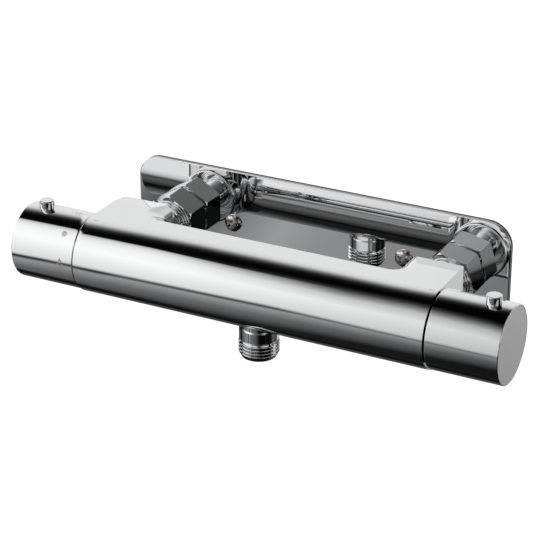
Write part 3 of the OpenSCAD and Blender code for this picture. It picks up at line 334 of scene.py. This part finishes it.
def combine(bm, tool, operation):
    """Joins, crosses or cuts two closed meshes. Both are used up, and the result is new."""
    meshes = []
    for part in (bm, tool):
        close_up(part)
        mesh = bpy.data.meshes.new("working")
        part.to_mesh(mesh)
        part.free()
        meshes.append(mesh)
    objects = [bpy.data.objects.new("working", mesh) for mesh in meshes]
    for made in objects:
        bpy.context.scene.collection.objects.link(made)
    work = objects[0].modifiers.new("combine", "BOOLEAN")
    work.operation = operation
    work.solver = "EXACT"
    work.object = objects[1]
    result = bpy.data.meshes.new_from_object(
        objects[0].evaluated_get(bpy.context.evaluated_depsgraph_get()))
    for made, mesh in zip(objects, meshes):
        bpy.data.objects.remove(made)
        bpy.data.meshes.remove(mesh)
    left = bmesh.new()
    left.from_mesh(result)
    bpy.data.meshes.remove(result)
    return left


def cut(bm, tool):
    """Takes the closed mesh tool away from the closed mesh bm, and returns the rest."""
    return combine(bm, tool, "DIFFERENCE")


def rod(bm, radius, start, end, place=Matrix.Identity(4), steps=ROUND_STEPS):
    """A round bar along Z from start to end, or one with as many flats as steps says."""
    bmesh.ops.create_cone(bm, cap_ends=True, segments=steps, radius1=radius, radius2=radius,
                          depth=end - start,
                          matrix=place @ Matrix.Translation((0, 0, (start + end) / 2)))


def from_wall(x):
    """Z becomes the distance from the wall and Y points up."""
    return Matrix.Translation((x, 0, 0)) @ Matrix.Rotation(math.pi / 2, 4, "X")


def rim(bm, limit=40):
    """The edges of bm that turn by more than limit degrees."""
    return [edge for edge in bm.edges if edge.calc_face_angle(0) > math.radians(limit)]


def soften(bm, edges, width, segments=3):
    """Rounds the edges over that width."""
    bmesh.ops.bevel(bm, geom=edges, offset=width, offset_type="OFFSET", affect="EDGES",
                    segments=segments, profile=0.5, material=-1, clamp_overlap=True)


plate_polish = metal("plate_polish", (0.95, 0.955, 0.96), 0.005, 0.003, 900)
# drawn tight by its two screws, the thin sheet leans its mirror image by a degree or so
nodes = plate_polish.node_tree.nodes
links = plate_polish.node_tree.links
place = nodes.new("ShaderNodeTexCoord")
height = nodes.new("ShaderNodeSeparateXYZ")
links.new(place.outputs["Object"], height.inputs[0])
lean = math_node("MULTIPLY", height.outputs["Z"], -math.tan(math.radians(PLATE_LEAN)))
tilt = nodes.new("ShaderNodeBump")
tilt.inputs["Strength"].default_value = 1
tilt.inputs["Distance"].default_value = 1
links.new(lean, tilt.inputs["Height"])
links.new(tilt.outputs[0], nodes["Principled BSDF"].inputs["Normal"])
# rough sheared steel for the sheet's sides, in a near-black colour that is painted shade
sheared_edge_painted_shade = metal("plate_edge_painted_shade", (0.10, 0.085, 0.078), 0.30, 0.12, 1400)

bm = bmesh.new()
bmesh.ops.create_cube(bm, size=1)
bmesh.ops.scale(bm, vec=(PLATE_W, PLATE_T, PLATE_H), verts=bm.verts)
bmesh.ops.translate(bm, vec=(0, -PLATE_T / 2, 0), verts=bm.verts)
corners = [e for e in bm.edges if abs(e.verts[0].co.y - e.verts[1].co.y) > PLATE_T / 2]
soften(bm, corners, PLATE_CORNER, 24)
front = [e for e in rim(bm) if all(v.co.y < -PLATE_T / 2 for v in e.verts)]
soften(bm, front, PLATE_BEVEL, 4)
holes = bmesh.new()
for side in (-1, 1):
    rod(holes, NIPPLE_HOLE_R, -OVER, PLATE_T + OVER, from_wall(side * INLET_X))
    rod(holes, SCREW_HOLE_R, -OVER, PLATE_T + OVER, from_wall(side * SCREW_X))
bm = cut(bm, holes)
close_up(bm)
# the sheet's sides are rough sheared steel, and their near-black colour is painted shade
for face in bm.faces:
    face.material_index = int(abs(face.normal.y) < 0.1)
plate = piece(bm, "polished_wall_plate", plate_polish, "valve", "polished_plate", "wall_plate")
plate.data.materials.append(sheared_edge_painted_shade)

# WALL SCREWS. Two pan-head screws of bright steel with a cross recess, driven through the
# plate into the wall.
SCREW_HEAD_R = 4.8
SCREW_HEAD_H = 3.0
SCREW_R = 2.4
SCREW_NECK_R = 2.1
SCREW_NECK_END = -2
SCREW_LENGTH = 32
SCREW_POINT = 5
SCREW_EDGE = 0.8
DOME_SHARES = (0.3, 0.45, 0.6, 0.72, 0.82, 0.9)
RECESS_TURN = 8
RECESS_W = 1.3
RECESS_L = 5.2
RECESS_DEPTH = 1.7


def turned(bm, outline, steps=ROUND_STEPS):
    """Turns an outline of (radius, height) points round Z, as on a lathe."""
    points = [bm.verts.new((radius, 0, height)) for radius, height in outline]
    sides = [bm.edges.new(pair) for pair in zip(points, points[1:])]
    bmesh.ops.spin(bm, geom=points + sides, cent=(0, 0, 0), axis=(0, 0, 1),
                   angle=2 * math.pi, steps=steps, use_merge=True)
    close_up(bm)


def arc(centre, radius, start, end, steps=8):
    """Points on an arc in (radius, height), with the angles in degrees."""
    return [(centre[0] + radius * math.cos(math.radians(start + (end - start) * i / steps)),
             centre[1] + radius * math.sin(math.radians(start + (end - start) * i / steps)))
            for i in range(steps + 1)]


def join(bm, part):
    """Moves the whole of the mesh part into bm."""
    moved = bpy.data.meshes.new("working")
    part.to_mesh(moved)
    part.free()
    bm.from_mesh(moved)
    bpy.data.meshes.remove(moved)


screw_steel = metal("screw_steel", (0.74, 0.68, 0.62), 0.07, 0.04, 1500)

screws = bmesh.new()
for side in (-1, 1):
    one = bmesh.new()
    dome = (SCREW_HEAD_H - SCREW_EDGE) * 0.8
    tip = PLATE_T - SCREW_LENGTH
    outline = [(0, PLATE_T + SCREW_HEAD_H)]
    outline += [(SCREW_HEAD_R * share, PLATE_T + SCREW_HEAD_H - dome * share ** 3)
                for share in DOME_SHARES]
    outline += arc((SCREW_HEAD_R - SCREW_EDGE, PLATE_T + SCREW_EDGE), SCREW_EDGE, 45, 0, 4)
    outline += [(SCREW_HEAD_R, PLATE_T), (SCREW_NECK_R, PLATE_T), (SCREW_NECK_R, SCREW_NECK_END),
                (SCREW_R, SCREW_NECK_END), (SCREW_R, tip + SCREW_POINT), (0, tip)]
    turned(one, outline, 64)
    for turn in (45, 135):
        cross = bmesh.new()
        bmesh.ops.create_cube(
            cross, size=1,
            matrix=Matrix.Rotation(math.radians(turn + RECESS_TURN * side), 4, "Z")
            @ Matrix.Translation((0, 0, PLATE_T + SCREW_HEAD_H))
            @ Matrix.Diagonal((RECESS_L, RECESS_W, 2 * RECESS_DEPTH, 1)))
        one = cut(one, cross)
    bmesh.ops.transform(one, matrix=from_wall(side * SCREW_X), verts=one.verts)
    join(screws, one)
close_up(screws)
piece(screws, "cross_head_screws", screw_steel, "valve", "bright_screw", "wall_screws")

# UNION NUTS. A turned brass hexagon with bevelled corners and a ringed cone in front, all
# chromed. Each nut runs on its wall nipple and pulls the valve's tail against a washer.
NUT_BACK = 3.9
NUT_FRONT = 19.1
NUT_AF = 27
NUT_BEVEL = 0.8
NUT_EDGE = 0.35
NUT_CONE = 2.4
NUT_RINGS = 3
NUT_RING_ROUND = 0.45
NUT_LIP = 1.6
NUT_CONE_BASE_R = 12.7
NUT_BORE_R = 10.26
NUT_MOUTH_R = 8.06
NUT_SHOULDER = 2.6
# each nut's water, its side and where its first corner stands, in degrees
NUTS = (("hot", -1, 30), ("cold", 1, 47))

chrome = metal("chrome", (0.92, 0.925, 0.93), 0.012, 0.006, 700, 0.003)

corner_r = NUT_AF / 2 / math.cos(math.radians(30))
bevel_reach = 0.1
ring_w = (NUT_CONE_BASE_R - NUT_MOUTH_R - NUT_LIP) / NUT_RINGS
for water, side, corner in NUTS:
    bm = bmesh.new()
    rod(bm, corner_r, NUT_BACK, NUT_FRONT, Matrix.Rotation(math.radians(corner), 4, "Z"), 6)
    # bmesh puts the first corner on Y, a quarter turn past the corner angle's start
    bmesh.ops.rotate(bm, verts=bm.verts, cent=(0, 0, 0),
                     matrix=Matrix.Rotation(-math.pi / 2, 3, "Z"))
    # turned to a bevel at both ends, which leaves an arc on each flat
    turning = bmesh.new()
    turned(turning, [(0, NUT_BACK), (corner_r - NUT_BEVEL, NUT_BACK),
                     (corner_r + bevel_reach, NUT_BACK + NUT_BEVEL + bevel_reach),
                     (corner_r + bevel_reach, NUT_FRONT - NUT_BEVEL - bevel_reach),
                     (corner_r - NUT_BEVEL, NUT_FRONT), (0, NUT_FRONT)], 144)
    bm = combine(bm, turning, "INTERSECT")
    soften(bm, rim(bm, 25), NUT_EDGE, 5)
    # the cone's rounded rings, each a step nearer to the valve
    cone = bmesh.new()
    outline = [(0, NUT_FRONT - OVER), (NUT_CONE_BASE_R - 0.3, NUT_FRONT - OVER)]
    for ring in range(NUT_RINGS):
        outer = NUT_CONE_BASE_R - ring * ring_w
        height = NUT_FRONT + (ring + 0.35) * NUT_CONE / NUT_RINGS
        outline += arc((outer - NUT_RING_ROUND, height), NUT_RING_ROUND, 0, 90, 4)
        outline += [(outer - ring_w + 0.1, height + NUT_RING_ROUND)]
    outline += [(0, outline[-1][1])]
    turned(cone, outline)
    bm = combine(bm, cone, "UNION")
    bore = bmesh.new()
    turned(bore, [(0, NUT_BACK - OVER), (NUT_BORE_R, NUT_BACK - OVER),
                  (NUT_BORE_R, NUT_FRONT - NUT_SHOULDER),
                  (NUT_MOUTH_R, NUT_FRONT - NUT_SHOULDER),
                  (NUT_MOUTH_R, NUT_FRONT + NUT_CONE + 2 * OVER),
                  (0, NUT_FRONT + NUT_CONE + 2 * OVER)])
    bm = cut(bm, bore)
    close_up(bm)
    piece(bm, water + "_hexagon_nut", chrome, water + "_nut", "chromed_brass", water + "_union_nut",
          place=from_wall(side * INLET_X))

# UNION TAILS. Turned tubes screwed into the arms, with a collar inside the nut. Only their
# chromed neck shows, between nut and arm.
TAIL_R = 8
TAIL_BORE_R = 4.5
COLLAR_R = 10.1
COLLAR_BACK = 14.4
COLLAR_FRONT = 16.4
SOCKET_R = 9.265
BOSS_FACE = 31
TAIL_END = 38.9

tails = bmesh.new()
for side in (-1, 1):
    one = bmesh.new()
    turned(one, [(TAIL_BORE_R, COLLAR_BACK), (COLLAR_R, COLLAR_BACK), (COLLAR_R, COLLAR_FRONT),
                 (TAIL_R, COLLAR_FRONT), (TAIL_R, BOSS_FACE), (SOCKET_R, BOSS_FACE + 0.05),
                 (SOCKET_R, TAIL_END), (TAIL_BORE_R, TAIL_END), (TAIL_BORE_R, COLLAR_BACK)])
    bmesh.ops.transform(one, matrix=from_wall(side * INLET_X), verts=one.verts)
    join(tails, one)
close_up(tails)
piece(tails, "turned_tails", chrome, "valve", "chromed_brass", "union_tails")

# VALVE BODY. One hollow brass casting, ground, polished and chromed: a round bar with a flat
# top that runs back over two square arms, each with a round boss for its inlet.
BAR_REACH = 68.8
BAR_R = 20.45
BODY_HALF = 96.6
SHOULDER_DEPTH = 14.2
SHOULDER_ROUND = 5
ARM_IN = 64.3
ARM_BACK = 36
BOSS_R = 15.7
BOSS_ROUND = 1.5
ARM_ROLL = 12
ARM_FILLET = 9
SLOPE_RUN = 10
SLOPE_ANGLE = 8
ARM_EDGE = 3
ARM_SIDE_ROUND = 8
ARM_FILLET_LOW = 14.5
BODY_EDGE = 0.35


def prism(outline, axis, start, end):
    """A solid whose outline of pairs is drawn across the axis and extruded along it."""
    turn = {"X": Matrix(((0, 0, 1, 0), (1, 0, 0, 0), (0, 1, 0, 0), (0, 0, 0, 1))),
            "Y": Matrix(((1, 0, 0, 0), (0, 0, 1, 0), (0, 1, 0, 0), (0, 0, 0, 1))),
            "Z": Matrix.Identity(4)}[axis]
    bm = bmesh.new()
    face = bm.faces.new([bm.verts.new((u, v, start)) for u, v in outline])
    grown = bmesh.ops.extrude_face_region(bm, geom=[face])
    bmesh.ops.translate(bm, vec=(0, 0, end - start),
                        verts=[v for v in grown["geom"] if isinstance(v, bmesh.types.BMVert)])
    bmesh.ops.transform(bm, matrix=turn, verts=bm.verts)
    close_up(bm)
    return bm


def across(outline, height):
    """Where an outline of (place, height) points, listed upwards, stands at that height."""
    for (low, z0), (high, z1) in zip(outline, outline[1:]):
        if z0 <= height <= z1 and z1 > z0:
            return low + (high - low) * (height - z0) / (z1 - z0)
    return outline[-1][0]


# the bar: a whole circle, with a flat shoulder that stands behind its top
foot = math.degrees(math.acos(SHOULDER_DEPTH / BAR_R))
back = [(y - BAR_REACH, z) for y, z in
        arc((0, 0), BAR_R, -90, foot, 68)
        + arc((SHOULDER_DEPTH - SHOULDER_ROUND, BAR_R - SHOULDER_ROUND), SHOULDER_ROUND, 0, 90, 18)]
front = [(y - BAR_REACH, z) for y, z in arc((0, 0), BAR_R, 90, 270, 90)]
bar = prism(back + front[:-1], "X", -BODY_HALF, BODY_HALF)

# each arm is what a front, a plan and a side outline have in common
top, low = BAR_R, -BOSS_R
inner = (arc((ARM_IN + ARM_ROLL, low + ARM_ROLL), ARM_ROLL, 270, 180, 24)
         + arc((ARM_IN + ARM_ROLL, top - ARM_ROLL), ARM_ROLL, 180, 90, 24))
plan = ([(ARM_IN, -BAR_REACH), (BODY_HALF, -BAR_REACH)]
        + arc((BODY_HALF - ARM_EDGE, -ARM_BACK - ARM_EDGE), ARM_EDGE, 0, 90, 16)
        + arc((ARM_IN + ARM_SIDE_ROUND, -ARM_BACK - ARM_SIDE_ROUND), ARM_SIDE_ROUND, 90, 180, 18))
slope = math.tan(math.radians(SLOPE_ANGLE)) * SLOPE_RUN
sloped = ([(-BAR_REACH, low)]
          + arc((-ARM_BACK - ARM_EDGE, low + ARM_EDGE), ARM_EDGE, 270, 360, 16)
          + [(-ARM_BACK, top - slope), (-ARM_BACK - SLOPE_RUN, top), (-BAR_REACH, top)])
for side in (-1, 1):
    arm = prism(inner + [(BODY_HALF, top), (BODY_HALF, low)], "Y", -BAR_REACH, -ARM_BACK)
    arm = combine(arm, prism(plan, "Z", low - OVER, top + OVER), "INTERSECT")
    arm = combine(arm, prism(sloped, "X", ARM_IN - OVER, BODY_HALF + OVER), "INTERSECT")
    # the hollow corner between the arm's inner side and the back of the bar
    heights = sorted({round(z, 6) for _, z in inner + back if -ARM_FILLET_LOW <= z <= top})
    loops = []
    fillet = bmesh.new()
    for z in heights:
        x, y = across(inner, z), across(back, z)
        outline = [(x + OVER, y - OVER), (x + OVER, y + ARM_FILLET)]
        outline += arc((x - ARM_FILLET, y + ARM_FILLET), ARM_FILLET, 0, -90, 18)
        outline += [(x - ARM_FILLET, y - OVER)]
        points = [fillet.verts.new((u, v, z)) for u, v in outline]
        loops.append([fillet.edges.new(pair) for pair in zip(points, points[1:] + points[:1])])
    for below, above in zip(loops, loops[1:]):
        bmesh.ops.bridge_loops(fillet, edges=below + above)
    bmesh.ops.holes_fill(fillet, edges=loops[0] + loops[-1], sides=0)
    boss = bmesh.new()
    turned(boss, [(0, BAR_REACH - SHOULDER_DEPTH), (BOSS_R, BAR_REACH - SHOULDER_DEPTH),
                  *arc((BOSS_R - BOSS_ROUND, BOSS_FACE + BOSS_ROUND), BOSS_ROUND, 0, -90, 16),
                  (0, BOSS_FACE)], 128)
    bmesh.ops.transform(boss, matrix=from_wall(INLET_X), verts=boss.verts)
    for part in (arm, fillet, boss):
        if side < 0:
            bmesh.ops.scale(part, vec=(-1, 1, 1), verts=part.verts)
        bar = combine(bar, part, "UNION")
close_up(bar)
soften(bar, rim(bar, 35), BODY_EDGE, 3)
close_up(bar, 6.5)
piece(bar, "chromed_casting", chrome, "valve", "chromed_brass", "valve_body")

# OUTLET. A turned and chromed G1/2 nipple, screwed into the seat under the bar.
OUTLET_TOP = 11.95
OUTLET_SEAT = 20.95
OUTLET_THREAD_TOP = 26.6
OUTLET_END = 36.6
OUTLET_BORE_R = 6
OUTLET_COLLAR_R = 10.2
OUTLET_ROUND = 0.2
THREAD_R = 10.4775
THREAD_ROOT_R = 9.315
THREAD_PITCH = 1.814
THREAD_RUN_OUT = 1
# where the flat root of a ridge begins and ends, in pitches
ROOT = (0.45, 0.55)
# the rounded crest of a ridge: its drop below the thread's radius and its place in the pitch
CREST = ((0.15, 0.86), (0.04, 0.92), (0, 1.0), (0.04, 1.08), (0.15, 1.14))


def below_bar():
    """Z becomes the distance below the axis of the bar."""
    return Matrix.Translation((0, -BAR_REACH, 0)) @ Matrix.Rotation(math.pi, 4, "X")


bm = bmesh.new()
outline = [(OUTLET_BORE_R, OUTLET_TOP), (THREAD_ROOT_R - 0.05, OUTLET_TOP),
           (THREAD_ROOT_R - 0.05, OUTLET_SEAT + 0.02), (OUTLET_COLLAR_R, OUTLET_SEAT + 0.05),
           *arc((OUTLET_COLLAR_R - OUTLET_ROUND, OUTLET_THREAD_TOP - OUTLET_ROUND),
                OUTLET_ROUND, 0, 90, 4)]
for ridge in range(int((OUTLET_END - OUTLET_THREAD_TOP - THREAD_RUN_OUT) / THREAD_PITCH)):
    start = OUTLET_THREAD_TOP + ridge * THREAD_PITCH
    outline += [(THREAD_ROOT_R, start + at * THREAD_PITCH) for at in ROOT]
    outline += [(THREAD_R - drop, start + at * THREAD_PITCH) for drop, at in CREST]
outline += [(THREAD_ROOT_R - 0.3, OUTLET_END), (OUTLET_BORE_R, OUTLET_END),
            (OUTLET_BORE_R, OUTLET_TOP)]
turned(bm, outline)
piece(bm, "threaded_outlet", chrome, "valve", "chromed_brass", "outlet_nipple", place=below_bar())

# KNOBS. Each is a deep-drawn and turned shell with a web near its end, chromed all over,
# and closed by a satin disc that snaps into the rim.
KNOB_START = 97.3
KNOB_END = 134.4
KNOB_R = 19.95
KNOB_IN_R = 17.6
KNOB_BEVEL = 0.5
WEB_START = 129.45
CAP_START = 132.45
CAP_RIM = 0.8
CAP_CLEAR = 0.05
CAP_EDGE = 0.2
KNOB_SCREW_HOLE_R = 2.1
BUTTON_AT = 124
BUTTON_HOLE_R = 3.96
KNOB_STEPS = 160
KNOBS = (("flow", -1), ("temperature", 1))

satin = metal("satin_disc", (0.83, 0.83, 0.835), 0.34, 0.05, 2500)


def along_bar(side):
    """Z runs out of the bar on that side, X points up and Y to the room."""
    return Matrix(((0, 0, side, 0), (0, -1, 0, -BAR_REACH), (1, 0, 0, 0), (0, 0, 0, 1)))


cap_r = KNOB_R - CAP_RIM
button_place = Matrix.Translation((0, 0, BUTTON_AT)) @ Matrix.Rotation(math.pi / 2, 4, "Y")
for knob, side in KNOBS:
    bm = bmesh.new()
    turned(bm, [(KNOB_IN_R, KNOB_START),
                *arc((KNOB_R - KNOB_BEVEL, KNOB_START + KNOB_BEVEL), KNOB_BEVEL, -90, 0, 4),
                *arc((KNOB_R - KNOB_BEVEL, KNOB_END - KNOB_BEVEL), KNOB_BEVEL, 0, 90, 4),
                (cap_r, KNOB_END), (cap_r, CAP_START), (KNOB_SCREW_HOLE_R, CAP_START),
                (KNOB_SCREW_HOLE_R, WEB_START), (KNOB_IN_R, WEB_START),
                (KNOB_IN_R, KNOB_START)], KNOB_STEPS)
    hole = bmesh.new()
    rod(hole, BUTTON_HOLE_R, 5, KNOB_R + 5, button_place)
    bm = cut(bm, hole)
    close_up(bm)
    piece(bm, knob + "_chromed_knob", chrome, knob + "_knob", "chromed_brass", knob + "_knob_shell",
          place=along_bar(side))

    bm = bmesh.new()
    turned(bm, [(0, CAP_START), (cap_r - CAP_CLEAR, CAP_START),
                (cap_r - CAP_CLEAR, KNOB_END - CAP_EDGE),
                (cap_r - CAP_EDGE, KNOB_END - CAP_CLEAR), (0, KNOB_END - CAP_CLEAR)], KNOB_STEPS)
    piece(bm, knob + "_satin_disc", satin, knob + "_knob", "satin_cap", knob + "_knob_cap",
          place=along_bar(side))

# BUTTONS. Turned and chromed pins that stand out of the knobs. Pressed, they push the latch
# clear of the stop ring.
BUTTON_R = 3.9
BUTTON_LOW = 14.9
BUTTON_FLANGE_R = 4.6
BUTTON_FLANGE_T = 1.3
BUTTON_TOP = 24
BUTTON_ROUND = 0.6

for knob, side in KNOBS:
    bm = bmesh.new()
    turned(bm, [(0, BUTTON_LOW), (BUTTON_FLANGE_R, BUTTON_LOW),
                (BUTTON_FLANGE_R, BUTTON_LOW + BUTTON_FLANGE_T),
                (BUTTON_R, BUTTON_LOW + BUTTON_FLANGE_T),
                *arc((BUTTON_R - BUTTON_ROUND, BUTTON_TOP - BUTTON_ROUND), BUTTON_ROUND, 0, 90, 6),
                (0, BUTTON_TOP)], 64)
    bmesh.ops.transform(bm, matrix=button_place, verts=bm.verts)
    piece(bm, knob + "_chromed_pin", chrome, knob + "_release", "chromed_brass", knob + "_button",
          place=along_bar(side))

# MARKS. A dot and two small signs are etched and filled on the flow knob, and a short line on
# the body stands beside each knob. They are thin patches that follow the round surface.
MARK_AT = -104.8
MARK_T = 0.03
MARK_LIFT = 0.005
# each sign's angle from the top towards the front, and its dots and drops, each as its place
# along the knob and up the curve, its radius and its stretch
FLOW_SIGNS = ((0, ((-1.5, 0.4, 0.75, 1.7), (0.5, 0.4, 0.75, 1.7), (2.3, 0.2, 0.5, 1),
                   (-0.5, -1.5, 0.4, 1), (1.3, -1.5, 0.4, 1))),
              (45, ((0, 0, 1.6, 1),)),
              (90, ((0, 0.9, 1.0, 2.0), (-1.3, -0.6, 0.42, 1), (-0.4, -1.3, 0.42, 1),
                    (0.6, -1.3, 0.42, 1), (1.5, -0.6, 0.42, 1), (-1.4, -2.1, 0.38, 1),
                    (0.1, -2.4, 0.38, 1), (1.6, -2.1, 0.38, 1))))
# the body's two lines: place along the bar and angle from the top
LINES = ((-92.0, 11), (93.0, 4.5))
LINE_L = 2.6
LINE_W = 0.45

mark_paint = bpy.data.materials.new("etched_mark")
mark_paint.use_nodes = True
nodes = mark_paint.node_tree.nodes
links = mark_paint.node_tree.links
place = nodes.new("ShaderNodeTexCoord")
speck = nodes.new("ShaderNodeTexNoise")
speck.inputs["Scale"].default_value = 4000
links.new(place.outputs["Object"], speck.inputs["Vector"])
tone = nodes.new("ShaderNodeValToRGB")
tone.color_ramp.elements[0].position = 0.35
tone.color_ramp.elements[0].color = (0.80, 0.70, 0.65, 1)
tone.color_ramp.elements[1].position = 0.65
tone.color_ramp.elements[1].color = (0.93, 0.83, 0.78, 1)
links.new(speck.outputs[0], tone.inputs[0])
links.new(tone.outputs[0], nodes["Principled BSDF"].inputs["Base Color"])
nodes["Principled BSDF"].inputs["Roughness"].default_value = 0.32
nodes["Principled BSDF"].inputs["Metallic"].default_value = 0.8


def patch(bm, u, v, radius, stretch):
    """A flat dot at (u, v), or a drop with its tip upwards where stretch is over 1."""
    made = bmesh.ops.create_circle(bm, cap_ends=True, cap_tris=True, segments=24,
                                   radius=radius)["verts"]
    for vert in made:
        if vert.co.y > 0 and stretch > 1:
            vert.co.x *= 1 - (vert.co.y / radius) ** 2 * 0.9
            vert.co.y *= stretch
    bmesh.ops.translate(bm, verts=made, vec=(u, v, 0))


def wrap(bm, radius, at, angle):
    """Gives the flat patches their thickness and lays them on the round surface: u runs along
    the bar, v up the curve towards the top, and angle is from the top towards the front."""
    bmesh.ops.subdivide_edges(bm, edges=bm.edges, cuts=2, use_grid_fill=True)
    grown = bmesh.ops.extrude_face_region(bm, geom=bm.faces[:])
    bmesh.ops.translate(bm, vec=(0, 0, MARK_T),
                        verts=[v for v in grown["geom"] if isinstance(v, bmesh.types.BMVert)])
    for vert in bm.verts:
        turn = math.radians(angle) - vert.co.y / radius
        high = radius + vert.co.z + MARK_LIFT
        vert.co = (at + vert.co.x, -BAR_REACH - high * math.sin(turn), high * math.cos(turn))


marks = bmesh.new()
for angle, dots in FLOW_SIGNS:
    sign = bmesh.new()
    for u, v, radius, stretch in dots:
        patch(sign, u, v, radius, stretch)
    wrap(sign, KNOB_R, MARK_AT, angle)
    join(marks, sign)
piece(marks, "flow_marks", mark_paint, "flow_knob", "ivory_plastic")

lines = bmesh.new()
for at, angle in LINES:
    line = bmesh.new()
    bmesh.ops.create_grid(line, x_segments=4, y_segments=2, size=0.5)
    bmesh.ops.scale(line, vec=(LINE_L, LINE_W, 1), verts=line.verts)
    wrap(line, BAR_R, at, angle)
    join(lines, line)
piece(lines, "index_lines", mark_paint, "valve", "ivory_plastic")

# WALL NIPPLES AND SEALS. Chromed brass nipples come out of the wall pipes through the plate.
# A flat rubber ring lies under each flange, and a fibre washer inside each nut.


def moulded(name, colour, roughness, grain_scale, bump, coat=0.0):
    """Rubber, plastic, fibre or ceramic: its colour and gloss vary in a fine grain."""
    paint = bpy.data.materials.new(name)
    paint.use_nodes = True
    nodes = paint.node_tree.nodes
    links = paint.node_tree.links
    shader = nodes["Principled BSDF"]
    shader.inputs["Coat Weight"].default_value = coat
    place = nodes.new("ShaderNodeTexCoord")
    grain = nodes.new("ShaderNodeTexNoise")
    grain.inputs["Scale"].default_value = grain_scale
    grain.inputs["Detail"].default_value = 4
    links.new(place.outputs["Object"], grain.inputs["Vector"])
    tone = nodes.new("ShaderNodeValToRGB")
    tone.color_ramp.elements[0].color = (*(0.85 * part for part in colour), 1)
    tone.color_ramp.elements[1].color = (*(min(1, 1.12 * part) for part in colour), 1)
    links.new(grain.outputs[0], tone.inputs[0])
    links.new(tone.outputs[0], shader.inputs["Base Color"])
    gloss = nodes.new("ShaderNodeMapRange")
    gloss.inputs["To Min"].default_value = roughness * 0.8
    gloss.inputs["To Max"].default_value = min(1, roughness * 1.2)
    links.new(grain.outputs[0], gloss.inputs["Value"])
    links.new(gloss.outputs[0], shader.inputs["Roughness"])
    relief = nodes.new("ShaderNodeBump")
    relief.inputs["Strength"].default_value = bump
    relief.inputs["Distance"].default_value = 0.1 * MM
    links.new(grain.outputs[0], relief.inputs["Height"])
    links.new(relief.outputs[0], shader.inputs["Normal"])
    return paint


def dress(paint, *names):
    """The CAD nodes of these names keep their shape and take this material."""
    for name in names:
        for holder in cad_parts[name].material_slots:
            holder.material = paint


rubber = moulded("black_rubber", (0.03, 0.03, 0.032), 0.55, 2200, 0.5)
fibre = moulded("pressed_fibre", (0.10, 0.12, 0.12), 0.8, 900, 0.9)
dress(chrome, "wall_nipples")
dress(rubber, "nipple_flange_seals")
dress(fibre, "union_washers")

# STRAINERS AND CHECK VALVES. A pierced steel strainer sits in each tail, and behind it a
# moulded check valve with a sprung poppet keeps hot and cold water from crossing over.
mesh_steel = metal("pierced_steel", (0.60, 0.61, 0.62), 0.30, 0.10, 1800)
wire = metal("spring_wire", (0.56, 0.57, 0.59), 0.26, 0.08, 2600)
ivory = moulded("ivory_plastic", (0.82, 0.79, 0.69), 0.42, 1500, 0.25)
dress(mesh_steel, "inlet_strainers")
dress(ivory, "check_valve_housings", "hot_check_poppet", "cold_check_poppet")
dress(rubber, "check_valve_seals")
dress(wire, "hot_check_spring", "cold_check_spring")
for side, name in ((-1, "hot_check"), (1, "cold_check")):
    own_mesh(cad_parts[name + "_spring"])

# MIXED WATER. A moulded tube lies in the bar and carries the mixed water from the thermostat
# to the flow side. A ring seals it, and another seals the outlet's thread.
dress(ivory, "mix_tube")
dress(rubber, "mix_tube_seal", "outlet_seal")

# FLOW CARTRIDGE. A turned brass headwork that turns one lapped ceramic disc over another.
brass = metal("turned_brass", (0.78, 0.60, 0.33), 0.24, 0.08, 1200, 0.01)
ceramic = moulded("lapped_ceramic", (0.86, 0.86, 0.83), 0.14, 2600, 0.08, 0.3)
dress(brass, "flow_cartridge_body", "flow_spindle", "flow_stop_ring")
dress(ceramic, "flow_lower_disc", "flow_upper_disc")
dress(rubber, "flow_rubber_seat", "flow_cartridge_seal", "flow_spindle_seal")
dress(wire, "flow_spindle_clip")

# THERMOSTAT CARTRIDGE. A glass-filled housing with a brass nut. Inside, a wax element pushes a
# slotted piston between the hot and the cold seat, against a spring, and the spindle's
# thread sets where it stands.
glass_filled = moulded("glass_filled_plastic", (0.30, 0.32, 0.35), 0.5, 1800, 0.4)
capsule = metal("copper_capsule", (0.72, 0.45, 0.26), 0.28, 0.10, 1000, 0.01)
dress(glass_filled, "thermostat_housing")
dress(rubber, "thermostat_housing_seals", "regulating_piston_seal", "temperature_spindle_seal")
dress(brass, "thermostat_retaining_nut", "adjusting_nut", "temperature_spindle",
      "temperature_stop_ring")
dress(ivory, "regulating_piston")
dress(capsule, "wax_element")
dress(wire, "piston_return_spring", "overload_spring", "overload_spring_seat",
      "overload_spring_plug", "temperature_spindle_clip")
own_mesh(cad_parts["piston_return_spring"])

# KNOB FITTINGS. A moulded hub on each spindle carries the shell, with a screw, a sliding latch
# and the spring that lifts the button.
dress(glass_filled, "flow_knob_hub", "temperature_knob_hub")
dress(ivory, "flow_button_latch", "temperature_button_latch")
dress(wire, "flow_knob_screw", "temperature_knob_screw", "flow_button_spring",
      "temperature_button_spring")
for knob, side in KNOBS:
    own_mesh(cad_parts[knob + "_button_spring"])
